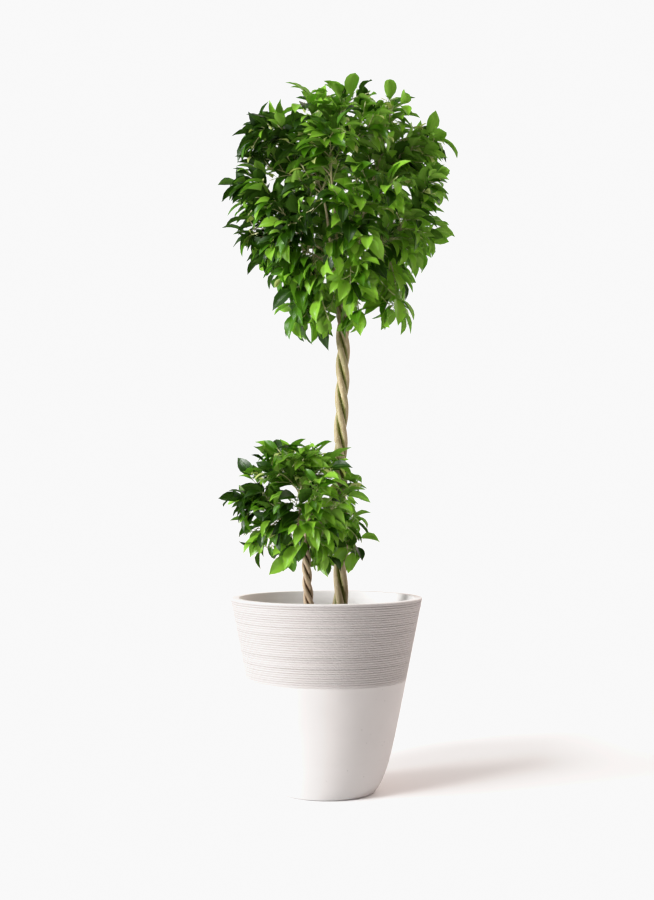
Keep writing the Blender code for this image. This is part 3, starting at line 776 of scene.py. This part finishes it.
TALL.crown = SimpleNamespace(
    seed=6,
    reach=Vector((0.162, 0.162, 0.180)),
    squareness=(2.9, 2.1),
    shoots=57,
    lowest=-0.93,
    twig_radius=0.00125,
    strays=((180, 8, 1.20), (182, 40, 1.08), (180, -22, 1.12), (2, 35, 1.16), (-2, -22, 1.06),
            (-80, 82, 0.98), (-20, -62, 1.36), (-150, -68, 1.40), (-110, -72, 1.34), (-60, -74, 1.30),
            (150, -70, 1.30), (90, 10, 1.12), (-80, -60, 1.10)),
)
LOW.crown = SimpleNamespace(
    seed=12,
    reach=Vector((0.092, 0.092, 0.084)),
    squareness=(2.1, 2.8),
    shoots=28,
    lowest=-0.88,
    twig_radius=0.00100,
    strays=((-150, 64, 1.10), (-8, -40, 1.38), (178, 0, 1.12), (-40, -62, 1.30), (-110, -66, 1.22),
            (30, -60, 1.25)),
)


def outline_reach(crown, direction):
    """How far a shoot may reach in a direction. The head is a rounded block above and a ball below."""
    power = crown.squareness[direction.z < 0]
    total = sum(abs(d / r) ** power for d, r in zip(direction, crown.reach))
    return total ** (-1 / power)


def shoot_tips(head, draw):
    """The ends of the shoots, spread evenly over the head by the golden angle, then the strays."""
    crown = head.crown
    golden = math.pi * (3 - math.sqrt(5))
    tips = []
    for k in range(crown.shoots):
        height = 1 - (1 - crown.lowest) * (k + 0.5) / crown.shoots
        direction = flat(golden * k) * math.sqrt(1 - height ** 2) + UP * height
        share = draw.uniform(*SHOOT_SHARES)
        tips.append(head.centre + direction * outline_reach(crown, direction) * share)
    for azimuth, elevation, share in crown.strays:
        level = flat(math.radians(azimuth)) * math.cos(math.radians(elevation))
        direction = level + UP * math.sin(math.radians(elevation))
        tips.append(head.centre + direction * outline_reach(crown, direction) * share)
    return tips


def cell_walls(mass, masses):
    """The planes halfway to the other masses' middles, as unit normals and how far out along them a
    piece of this mass may reach."""
    walls = []
    for other in masses:
        if other is not mass:
            normal = (other.middle - mass.middle).normalized()
            walls.append((normal, (mass.middle + other.middle).dot(normal) / 2 - CELL_MARGIN))
    return walls


def inside(points, walls):
    return all(point.dot(normal) < reach for normal, reach in walls for point in points)


def limb_points(heads):
    """A search tree of points on all stems and boughs, with the radius at each."""
    points = []
    for head in heads:
        for number in range(STRANDS):
            path, _ = strand_path(head, number)
            points += [(point, strand_radius(head, point.z)) for point in path[::2]]
        for mass in head.masses:
            points += [(point, mass.radius) for point in mass.bough]
    near = KDTree(len(points))
    for index, (point, _) in enumerate(points):
        near.insert(point, index)
    near.balance()
    return near, [radius for _, radius in points]


def clear_of_limbs(points, margin):
    """True if none of the points comes within the margin of a stem or bough."""
    near, radii = limb_room
    for point in points:
        _, index, gap = near.find(point)
        if gap < radii[index] + margin:
            return False
    return True


def shoot_path(start, heading, tip, outward):
    """A shoot leaves its stem at a slant, sweeps out to its place and nods at the end."""
    reach = (tip - start).length
    leave = ((tip - start).normalized() * TWIG_AIM + heading).normalized()
    rise = UP * reach * TWIG_ARCH * (1 - abs(outward.z))
    return curve_through([start, start + leave * reach * TWIG_HANDLE + rise, tip + rise, tip], TWIG_STEPS)


def side_twigs(head, shoot, walls, draw):
    """Short twigs to either side of a shoot by turns, held inside the cell and the outline."""
    length = (shoot.path[-1] - shoot.path[0]).length
    steps = len(shoot.path) - 1
    low, high = SIDE_TWIG_PLACES
    count = max(1, round(length * (high - low) / SIDE_TWIG_SPACING))
    turn = draw.uniform(0, TURN)
    twigs = []
    for k in range(count):
        share = low + (high - low) * (k + draw.uniform(0.3, 0.7)) / count
        place = min(int(share * steps), steps - 1)
        root = shoot.path[place].lerp(shoot.path[place + 1], share * steps - place)
        along = (shoot.path[place + 1] - shoot.path[place]).normalized()
        across = along.orthogonal().normalized()
        angle = turn + math.pi * k + draw.uniform(-0.6, 0.6)
        side = across * math.cos(angle) + along.cross(across) * math.sin(angle)
        reach = draw.uniform(*SIDE_TWIG_LENGTHS)
        lean = (along + side * SIDE_TWIG_SLANT + shoot.outward * 0.3).normalized()
        tip = root + lean * reach
        off = tip - head.centre
        most = outline_reach(head.crown, off.normalized()) * SHOOT_SHARES[1]
        if off.length > most:
            tip = head.centre + off * (most / off.length)
        bend = root + lean * reach * 0.5 + UP * reach * 0.12
        path = curve_through([root, bend, tip], SIDE_TWIG_STEPS)
        if inside(path, walls) and clear_of_limbs(path[2:], LIMB_MARGIN):
            twigs.append(SimpleNamespace(path=path, outward=off.normalized(), radius=head.crown.twig_radius * 0.72))
    return twigs


def grown_wood(head, mass, tips, draw):
    """The wood of one mass: its stem, its shoots and their side twigs."""
    heading = (mass.bough[-1] - mass.bough[-2]).normalized()
    start = mass.bough[-1] - heading * GAP
    mine = [tip for tip in tips if inside([tip], mass.walls)]
    end = mass.middle.lerp(sum(mine, Vector()) / len(mine), STEM_PULL)
    stem = curve_through([start, start + heading * (end - start).length * BOUGH_BEND, end], STEM_STEPS)
    shoots, side = [], []
    mine.sort(key=lambda tip: (tip - start).angle(heading), reverse=True)
    for number, tip in enumerate(mine):
        share = (STEM_BARE + (1 - STEM_BARE) * (number + 0.5) / len(mine)) * STEM_STEPS
        place = min(int(share), STEM_STEPS - 1)
        node = stem[place].lerp(stem[place + 1], share - place)
        outward = (tip - head.centre).normalized()
        path = shoot_path(node, (stem[place + 1] - stem[place]).normalized(), tip, outward)
        if inside(path, mass.walls) and clear_of_limbs(path, LIMB_MARGIN):
            shoot = SimpleNamespace(path=path, outward=outward, radius=head.crown.twig_radius)
            shoots.append(shoot)
            side += side_twigs(head, shoot, mass.walls, draw)
    for _ in range(2):
        side += side_twigs(head, SimpleNamespace(path=stem, outward=heading), mass.walls, draw)
    return stem, shoots, side


def knotty(radii):
    """Twig radii with a swelling at every other point, where the leaves sit."""
    return [radius * (TWIG_SWELL if k % 2 else 1) for k, radius in enumerate(radii)]


def bud_line(twig, length):
    """The slim pointed bud in its pale sheath at the end of a twig."""
    heading = (twig.path[-1] - twig.path[-2]).normalized()
    start = twig.path[-1] - heading * length * 0.1
    path = [start + (heading + UP * 0.15) * length * share for share in (0.0, 0.2, 0.45, 0.75, 1.0)]
    radii = [twig.radius * share for share in BUD_SHAPE]
    return limb_line(path, radii, (2.0, 2.0))


def twig_finish():
    """Twig bark: tan where it is old, green where it is young, pale yellow-green on buds, with faint rings."""
    made, tree, shader = new_finish("twig_bark", TWIG_TAN, 0.55)
    young = attribute(tree, "young")
    mottle = sum_up(tree, "MULTIPLY", sum_up(tree, "SUBTRACT", noisy(tree, stretched(tree, (1, 1, 1)), 160.0), 0.5), 0.7)
    tone = blended(tree, spread(tree, sum_up(tree, "ADD", young, mottle), 0.1, 0.9), TWIG_TAN, TWIG_GREEN)
    tone = blended(tree, spread(tree, young, 1.2, 1.8), tone, BUD_GREEN)
    tree.links.new(tone, shader.inputs["Base Color"])
    rings = noisy(tree, stretched(tree, (1, 1, 1)), 900.0, 2.0)
    bump = put(tree, "ShaderNodeBump", {"Strength": 0.4, "Distance": 0.0002, "Height": rings})
    tree.links.new(bump.outputs[0], shader.inputs["Normal"])
    return made


limb_room = limb_points((TALL, LOW))
twig_bark = twig_finish()
for head in (TALL, LOW):
    lines = []
    tips = shoot_tips(head, random.Random(head.crown.seed))
    for mass in head.masses:
        mass.draw = random.Random(f"{head.crown.seed} {mass.name}")
        mass.walls = cell_walls(mass, head.masses)
        stem, mass.shoots, mass.side_twigs = grown_wood(head, mass, tips, mass.draw)
        thick = mass.radius * BOUGH_TAPER
        lines.append(limb_line(stem, tapering(thick, STEM_TAPER, STEM_STEPS), (0.0, 0.2)))
        for twig in mass.shoots:
            lines.append(limb_line(twig.path, knotty(tapering(twig.radius, TWIG_TAPER, TWIG_STEPS)), (0.1, 1.0)))
            lines.append(bud_line(twig, BUD_LENGTH))
        for twig in mass.side_twigs:
            radii = knotty(tapering(twig.radius, TWIG_TAPER, SIDE_TWIG_STEPS))
            lines.append(limb_line(twig.path, radii, (0.5, 1.0)))
            lines.append(bud_line(twig, BUD_LENGTH * SIDE_BUD))
    twigs = limb_lines(f"{head.name}_twigs", lines)
    sizes = {"Sides": TWIG_SIDES, "Relief": 0.0, "Relief size": 300.0, "Bark": twig_bark}
    twigs = shaped(twigs, limbs, sizes)
    kept(twigs, "bark", *[mass.name.replace("_", "_foliage_") for mass in head.masses])


# The leaves. The real ones are 50 to 65 mm long on a short stalk, thin and leathery, folded along a pale
# midrib and arched down to a drawn-out tip. They sit by turns to either side of every twig, glossy green
# above and paler and duller beneath. The youngest are small and yellow-green.

LEAF_STALK = 0.15
LEAF_WIDTH = 0.44
LEAF_OUTLINE = ((0.07, 0.42), (0.22, 0.84), (0.40, 1.00), (0.60, 0.88), (0.78, 0.52), (0.90, 0.19))
LEAF_COLUMNS = (-1.0, -0.5, 0.0, 0.5, 1.0)
LEAF_THICKNESS = 0.008
LEAF_MIDRIB = 0.013
LEAF_SHAPES = 8
LEAF_SIZES = {"tall": (0.056, 0.072), "low": (0.050, 0.066)}
LEAF_SPACING = 0.0100
LEAF_GROWTH = (0.45, 0.75, 0.92, 1.0)
LEAFY_SHARE = {"shoot": 0.88, "side": 0.88}
LAST_LEAF = 0.97
LEAF_SIDE_SPREAD = 0.4
LEAF_LEAN_ALONG = 0.78
LEAF_LEAN_OUT = 0.72
LEAF_DROOP_UPRIGHT = 0.60
LEAF_DROOP_LEVEL = 0.55
LEAF_DROOP_SPREAD = (-0.25, 0.30)
LEAF_FACE_UP = 0.8
LEAF_FACE_OUT = 0.7
LEAF_FACE_SPREAD = 1.2
LEAF_TRIES = 5
TRY_TURN = TURN * 0.382
TRY_SHRINK = 0.20
TURN_IN = 1.1
TRIAL_WIDEST = 0.5
TRIAL_NARROWER = 0.6
TRIAL_LIFT = 0.10
LEAF_GLOW = 1.45
LEAF_THINNESS = 0.40

# Painted light and shade: sprays at the top, the foot and the right get lighter greens, those in the middle deeper
# ones.
PAINTED_LIGHT_TOP = 0.65
PAINTED_LIGHT_FOOT = 0.35
PAINTED_LIGHT_RIGHT = 0.75
TALL.freshness = 0.0
LOW.freshness = 0.20
TALL.leaf_pieces = 2
LOW.leaf_pieces = 1

LEAF_TONES = {
    "deep": (0.017, 0.062, 0.001),
    "mid": (0.072, 0.215, 0.006),
    "fresh": (0.260, 0.510, 0.040),
    "young": (0.560, 0.640, 0.230),
}
UNDER_TONES = {
    "deep": (0.060, 0.145, 0.015),
    "mid": (0.100, 0.215, 0.022),
    "fresh": (0.230, 0.400, 0.060),
    "young": (0.500, 0.570, 0.200),
}


def leaf_shape(number, draw):
    """One pattern leaf of unit length along +Y, its upper side up, and its stalk's end at the origin."""
    fold = draw.uniform(0.25, 0.50)
    arch = draw.uniform(0.65, 1.25)
    wave = draw.uniform(0.010, 0.028)
    twist = draw.uniform(-0.35, 0.35)
    sway = draw.uniform(-0.12, 0.12)
    width = LEAF_WIDTH * draw.uniform(0.92, 1.08)
    phase = draw.uniform(0, TURN)
    fine = 40

    def midrib(t):
        """The midrib's place and slope at a share of the whole length: it rises, and then arches over."""
        y = z = 0.0
        steps = max(1, round(t * fine))
        for k in range(steps):
            slope = arch * (0.5 - (k + 0.5) / steps * t)
            y += math.cos(slope) * t / steps
            z += math.sin(slope) * t / steps
        return Vector((sway * t * t, y, z)), arch * (0.5 - t)

    shape = bmesh.new()
    across = shape.loops.layers.uv.new("leaf")
    upper_side = shape.faces.layers.bool.new("upper")
    places = {}

    def vertex(row, column, upper):
        """The vertex of a row and column. The two sides share their edges and their ends."""
        t, wide = ((0.0, 0.0), *LEAF_OUTLINE, (1.0, 0.0))[row]
        s = LEAF_COLUMNS[column]
        if wide == 0:
            key = (row,)
        elif abs(s) == 1:
            key = (row, column)
        else:
            key = (row, column, upper)
        if key not in places:
            place, slope = midrib(LEAF_STALK + (1 - LEAF_STALK) * t)
            half = wide * width / 2
            roll = twist * t
            rise = abs(s) * math.sin(fold) * half + wave * s * s * math.sin(phase + 9 * t + s) * wide
            sunk = 0 if upper or abs(s) == 1 or wide == 0 else (LEAF_MIDRIB if s == 0 else LEAF_THICKNESS)
            off = Vector((s * half * math.cos(fold), 0, rise - sunk))
            off.rotate(Quaternion((0, 1, 0), roll))
            off.rotate(Quaternion((1, 0, 0), slope))
            places[key] = shape.verts.new(place + off)
        return places[key]

    def side(upper):
        rows = len(LEAF_OUTLINE) + 2
        for row in range(rows - 1):
            for column in range(len(LEAF_COLUMNS) - 1):
                spots = [(row, column), (row, column + 1), (row + 1, column + 1), (row + 1, column)]
                corners, seen = [], set()
                for r, c in spots:
                    vert = vertex(r, c, upper)
                    if vert not in seen:
                        seen.add(vert)
                        corners.append((vert, r, c))
                if not upper:
                    corners.reverse()
                face = shape.faces.new([corner[0] for corner in corners])
                face[upper_side] = upper
                face.smooth = True
                for loop, (_, r, c) in zip(face.loops, corners):
                    t = (0.0, *[o[0] for o in LEAF_OUTLINE], 1.0)[r]
                    loop[across].uv = (0.5 + LEAF_COLUMNS[c] / 2, t)

    side(True)
    side(False)
    stalk = []
    for t, thick in ((0.0, 0.017), (0.08, 0.012), (LEAF_STALK + 0.03, 0.009)):
        place, _ = midrib(t)
        place.z -= LEAF_MIDRIB / 2
        angles = [TURN * (k + 0.5) / 3 for k in range(3)]
        stalk.append([shape.verts.new(place + Vector((math.sin(a), 0, math.cos(a))) * thick) for a in angles])
    for low, high in zip(stalk, stalk[1:]):
        for k in range(3):
            face = shape.faces.new((low[k], low[(k + 1) % 3], high[(k + 1) % 3], high[k]))
            face.smooth = True
    shape.faces.new(stalk[0][::-1])
    shape.faces.new(stalk[-1])
    mesh = bpy.data.meshes.new(f"leaf_{number}")
    shape.to_mesh(mesh)
    shape.free()
    return mesh


def leaf_direction(along, side, lift, draw):
    """A leaf leans out from its shoot and hangs the more the flatter the shoot lies, unless it is lifted."""
    droop = LEAF_DROOP_LEVEL + (LEAF_DROOP_UPRIGHT - LEAF_DROOP_LEVEL) * abs(along.z)
    droop = (droop + draw.uniform(*LEAF_DROOP_SPREAD)) * (1 - lift / 2)
    return (along * LEAF_LEAN_ALONG + side * LEAF_LEAN_OUT - UP * droop).normalized()


def leaf_face(direction, side, outward, draw):
    """The upper face of a leaf looks up and out of the head."""
    roll = draw.uniform(-LEAF_FACE_SPREAD, LEAF_FACE_SPREAD)
    face = UP * LEAF_FACE_UP + outward * LEAF_FACE_OUT + side * roll
    return (face - direction * face.dot(direction)).normalized()


def turned_in(root, direction, length, walls):
    """The direction, bent so far that a leaf's tip doesn't cross its cell's walls."""
    for normal, reach in walls:
        excess = (root + direction * length).dot(normal) - reach
        if excess > 0:
            direction = (direction - normal * excess / length * TURN_IN).normalized()
    return direction


def trial_leaf(root, direction, face, length):
    """Two crossed strips where the blade will lie, to test it against other leaves."""
    side = direction.cross(face) * length * LEAF_WIDTH / 2 * TRIAL_NARROWER
    start = root + direction * length * LEAF_STALK
    middle = root + direction * length * TRIAL_WIDEST + face * length * TRIAL_LIFT
    tip = root + direction * length
    return [start, middle + side, tip, middle - side], [(0, 1, 2), (0, 2, 3)]


def leaves_on(head, twig, kind, walls, others, draw):
    """Leaves by turns to either side of one twig, each laid where it crosses no other if it can be."""
    steps = len(twig.path) - 1
    length = sum((b - a).length for a, b in zip(twig.path, twig.path[1:]))
    count = max(3, round(length * LEAFY_SHARE[kind] / LEAF_SPACING))
    turn = draw.uniform(0, TURN)
    for k in range(count):
        share = (LAST_LEAF - LEAFY_SHARE[kind] * k / count) * steps
        place = min(int(share), steps - 1)
        axis = twig.path[place].lerp(twig.path[place + 1], share - place)
        along = (twig.path[place + 1] - twig.path[place]).normalized()
        across = along.orthogonal().normalized()
        grown = LEAF_GROWTH[min(k, len(LEAF_GROWTH) - 1)]
        for attempt in range(LEAF_TRIES):
            crowding = attempt / LEAF_TRIES
            size = draw.uniform(*LEAF_SIZES[head.name]) * grown * (1 - TRY_SHRINK * crowding)
            angle = turn + math.pi * k + TRY_TURN * attempt
            angle += draw.uniform(-LEAF_SIDE_SPREAD, LEAF_SIDE_SPREAD)
            side = across * math.cos(angle) + along.cross(across) * math.sin(angle)
            direction = turned_in(axis, leaf_direction(along, side, crowding, draw), size, walls)
            face = leaf_face(direction, side, twig.outward, draw)
            verts, faces = trial_leaf(axis, direction, face, size)
            if not inside(verts, walls) or not clear_of_limbs([verts[1], verts[3]], LIMB_MARGIN):
                continue
            tree = BVHTree.FromPolygons(verts, faces)
            if any((verts[0] - near).length < size and tree.overlap(other) for near, other in others):
                continue
            others.append((verts[0], tree))
            yield SimpleNamespace(root=axis, direction=direction, face=face, size=size, age=k)
            break


def leaf_tone(head, leaf, painted_light_spray_tone, draw):
    """The youngest leaves are yellow-green. The rest have their spray's green, and now and then another."""
    high = (leaf.root.z - head.centre.z) / head.crown.reach.z
    if leaf.age == 0 and draw.random() < 0.28 + 0.25 * high:
        return "young"
    if leaf.age <= 1 and draw.random() < 0.45:
        return "fresh"
    return painted_light_spray_tone if draw.random() < 0.8 else draw.choice(("deep", "mid", "fresh"))


def painted_light_spray_tone(head, twig, draw):
    """A spray near the top, the foot or the right is dealt a lighter green, which is painted light, and one in the
    middle a deeper one, which is painted shade.
    """
    high = (twig.path[-1].z - head.centre.z) / head.crown.reach.z
    right = (twig.path[-1].x - head.centre.x) / head.crown.reach.x
    # Painted light: a lift towards lighter greens for sprays high or low in the head and at its right.
    lift = PAINTED_LIGHT_TOP if high > 0 else PAINTED_LIGHT_FOOT
    chance = draw.random() + lift * abs(high) + PAINTED_LIGHT_RIGHT * right + head.freshness
    return "fresh" if chance > 0.85 else "mid" if chance > 0.36 else "deep"


def spray_tree(tones):
    """Sets pattern leaves on points by their own attributes, and gives each its tone's two finishes."""
    tree, given, out = shape_tree("leafy_sprays", {"Patterns": "Collection"})
    patterns = put(tree, "GeometryNodeCollectionInfo", {0: given["Patterns"], 1: True, 2: True}).outputs[0]
    placed = put(tree, "GeometryNodeInstanceOnPoints", {
        "Points": given["Geometry"],
        "Instance": patterns,
        "Pick Instance": True,
        "Instance Index": named(tree, "pattern", "INT"),
        "Rotation": named(tree, "turn", "QUATERNION"),
        "Scale": named(tree, "size", "FLOAT"),
    }).outputs[0]
    shape = put(tree, "GeometryNodeRealizeInstances", {0: placed}).outputs[0]
    upper = named(tree, "upper", "BOOLEAN")
    for number, (above, beneath) in enumerate(tones):
        inputs = {2: named(tree, "tone", "INT"), 3: number}
        match = put(tree, "FunctionNodeCompare", inputs, data_type="INT", operation="EQUAL").outputs[0]
        shape = put(tree, "GeometryNodeSetMaterial", {0: shape, 1: match, 2: beneath}).outputs[0]
        both = put(tree, "FunctionNodeBooleanMath", {0: match, 1: upper}).outputs[0]
        shape = put(tree, "GeometryNodeSetMaterial", {0: shape, 1: both, 2: above}).outputs[0]
    tree.links.new(shape, out.inputs[0])
    return tree


def leaf_finish(name, colour, roughness, shine, vein):
    """A leathery leaf: green that lets some light through, a paler midrib, and side veins in the gloss."""
    made, tree, shader = new_finish(name, colour, roughness, **{"Specular IOR Level": shine})
    spot = put(tree, "ShaderNodeUVMap", uv_map="leaf").outputs[0]
    axes = put(tree, "ShaderNodeSeparateXYZ", {0: spot}).outputs
    off = sum_up(tree, "ABSOLUTE", sum_up(tree, "SUBTRACT", axes[0], 0.5))
    midrib = spread(tree, off, 0.018, 0.055, 1.0, 0.0)
    climb = sum_up(tree, "SUBTRACT", sum_up(tree, "MULTIPLY", axes[1], 13.0), sum_up(tree, "MULTIPLY", off, 5.0))
    veins = spread(tree, sum_up(tree, "PINGPONG", climb, 0.5), 0.0, 0.12, 1.0, 0.0)
    tone = blended(tree, sum_up(tree, "MULTIPLY", midrib, 0.5), colour, vein)
    tree.links.new(tone, shader.inputs["Base Color"])
    height = sum_up(tree, "ADD", midrib, sum_up(tree, "MULTIPLY", veins, 0.35))
    bump = put(tree, "ShaderNodeBump", {"Strength": 0.35, "Distance": 0.0004, "Height": height}, invert=True)
    tree.links.new(bump.outputs[0], shader.inputs["Normal"])
    glow = put(tree, "ShaderNodeBsdfTranslucent", {"Color": (*shaded(colour, LEAF_GLOW), 1)}).outputs[0]
    both = put(tree, "ShaderNodeMixShader", {0: LEAF_THINNESS, 1: shader.outputs[0], 2: glow}).outputs[0]
    tree.links.new(both, tree.nodes["Material Output"].inputs["Surface"])
    return made


def point_cloud(name, spots):
    """Bare points that carry a pattern number, a turn, a size and a tone."""
    obj = new_piece(name, [spot.root for spot in spots], [])
    turns = []
    for spot in spots:
        sideways = spot.direction.cross(spot.face)
        turns.append(Matrix((sideways, spot.direction, spot.face)).transposed().to_quaternion())
    for key, kind, values in (
        ("pattern", "INT", [spot.pattern for spot in spots]),
        ("size", "FLOAT", [spot.size for spot in spots]),
        ("tone", "INT", [spot.tone for spot in spots]),
        ("turn", "QUATERNION", [number for turn in turns for number in turn]),
    ):
        obj.data.attributes.new(key, kind, "POINT").data.foreach_set("value", values)
    return obj


tone_names = list(LEAF_TONES)
finishes = []
for tone in tone_names:
    vein = shaded(UNDER_TONES[tone], 1.5)
    above = leaf_finish(f"leaf_{tone}", LEAF_TONES[tone], 0.28, 0.38, vein)
    beneath = leaf_finish(f"leaf_{tone}_under", UNDER_TONES[tone], 0.60, 0.10, vein)
    finishes.append((above, beneath))
patterns = bpy.data.collections.new("leaf_patterns")
pattern_draw = random.Random(21)
for number in range(LEAF_SHAPES):
    mesh = leaf_shape(number, pattern_draw)
    patterns.objects.link(bpy.data.objects.new(mesh.name, mesh))
sprays = spray_tree(finishes)
for head in (TALL, LOW):
    for number in range(head.leaf_pieces):
        spots = []
        masses = head.masses[number::head.leaf_pieces]
        for mass in masses:
            others = []
            for kind, twigs in (("shoot", mass.shoots), ("side", mass.side_twigs)):
                for twig in twigs:
                    tone = painted_light_spray_tone(head, twig, mass.draw)
                    for leaf in leaves_on(head, twig, kind, mass.walls, others, mass.draw):
                        leaf.tone = tone_names.index(leaf_tone(head, leaf, tone, mass.draw))
                        leaf.pattern = mass.draw.randrange(LEAF_SHAPES)
                        spots.append(leaf)
        leaves = shaped(point_cloud(f"{head.name}_leaves_{number + 1}", spots), sprays, {"Patterns": patterns})
        leaves.data.set_sharp_from_angle(angle=math.radians(70))
        kept(leaves, "leaf", *[mass.name.replace("_", "_foliage_") for mass in masses])
cleared(patterns)


# The room. A white studio, overexposed as such pictures are: floor and background run into each other at
# the same white. One soft lamp stands high at the left and front, a stronger one low at the left, and
# walls to all sides give back a glow, the warmest and brightest from behind at the right.

FLOOR_SIZE = 60.0
FLOOR_COLOUR = (0.965, 0.975, 0.98)
WHITEST = 0.945
SHOULDER = ((0.80, 0.80), (0.92, 0.885), (0.99, 0.925), (1.04, WHITEST))
BACKDROP = (1.1, 1.1, 1.1, 1.0)
LAMPS = (
    ("high_lamp", 46, 36, 16, 1.70),
    ("low_lamp", 70, 9, 20, 3.8),
)
GLOWS = (
    ((80, 35), (0.50, 0.95), (1.00, 1.00, 1.00)),
    ((-145, 15), (0.50, 0.95), (1.75, 1.48, 1.38)),
    ((-90, 0), (0.20, 0.90), (0.40, 0.33, 0.30)),
    ((0, 0), (0.20, 0.90), (0.18, 0.160, 0.152)),
    ((180, 0), (0.20, 0.90), (0.22, 0.19, 0.18)),
    ((0, 90), (0.50, 0.95), (0.20, 0.20, 0.20)),
)


def from_left(bearing, height):
    """The way to a light that stands so many degrees to the left of the camera and above the floor."""
    bearing, height = math.radians(bearing), math.radians(height)
    return Vector((-math.sin(bearing) * math.cos(height), -math.cos(bearing) * math.cos(height), math.sin(height)))


def patch(tree, ray, way, outer, inner):
    """How far a ray lies within the round patch of light about a way, by the cosines of its two edges."""
    facing = put(tree, "ShaderNodeVectorMath", {0: ray, 1: way}, operation="DOT_PRODUCT").outputs["Value"]
    inputs = {0: facing, 1: outer, 2: inner}
    return put(tree, "ShaderNodeMapRange", inputs, interpolation_type="SMOOTHSTEP").outputs[0]


half = FLOOR_SIZE / 2
floor = new_piece("floor", [(-half, -half, 0), (half, -half, 0), (half, half, 0), (-half, half, 0)], [(0, 1, 2, 3)])
floor_finish, _, _ = new_finish("studio_floor", FLOOR_COLOUR, 0.9, **{"Specular IOR Level": 0.0})
floor.data.materials.append(floor_finish)

for name, bearing, height, width, strength in LAMPS:
    lamp = bpy.data.objects.new(name, bpy.data.lights.new(name, "SUN"))
    bpy.context.scene.collection.objects.link(lamp)
    lamp.data.energy = strength
    lamp.data.angle = math.radians(width)
    lamp.rotation_euler = (math.radians(90 - height), 0, math.radians(-bearing))

world = bpy.data.worlds.new("studio")
world.use_nodes = True
bpy.context.scene.world = world
room = world.node_tree
ray = put(room, "ShaderNodeTexCoord").outputs["Generated"]
tone = (0, 0, 0, 1)
for way, edges, colour in GLOWS:
    inputs = {0: patch(room, ray, from_left(*way), *edges), 6: tone, 7: (*colour, 1)}
    tone = put(room, "ShaderNodeMix", inputs, data_type="RGBA", blend_type="ADD").outputs[2]
fill = put(room, "ShaderNodeBackground", {"Color": tone})
seen = room.nodes["Background"]
seen.inputs["Color"].default_value = BACKDROP
straight = put(room, "ShaderNodeLightPath").outputs["Is Camera Ray"]
mixed = put(room, "ShaderNodeMixShader", {0: straight, 1: fill.outputs[0], 2: seen.outputs[0]})
room.links.new(mixed.outputs[0], room.nodes["World Output"].inputs["Surface"])

view = bpy.context.scene.view_settings
view.view_transform = "Standard"
view.use_curve_mapping = True
ceiling = view.curve_mapping.curves[3]
ceiling.points[1].location = SHOULDER[0]
for place in (*SHOULDER[1:], (1.2, WHITEST)):
    ceiling.points.new(*place)
for point in ceiling.points:
    point.handle_type = "VECTOR"
view.curve_mapping.extend = "HORIZONTAL"
view.curve_mapping.update()

# The camera stands where the photograph was taken from: at chair height, level with the low head, and
# tipped up a little. The lens is a standard one on a frame 36 mm high.

CAMERA_PLACE = (0.0011, -2.45, 0.548)
CAMERA_TIP = 2.06
LENS = 52.0
FRAME_HEIGHT = 36.0

camera = bpy.data.objects.new("camera", bpy.data.cameras.new("camera"))
bpy.context.scene.collection.objects.link(camera)
camera.location = CAMERA_PLACE
camera.rotation_euler = (math.radians(90 + CAMERA_TIP), 0, 0)
camera.data.sensor_fit = "VERTICAL"
camera.data.sensor_height = FRAME_HEIGHT
camera.data.lens = LENS
bpy.context.scene.camera = camera
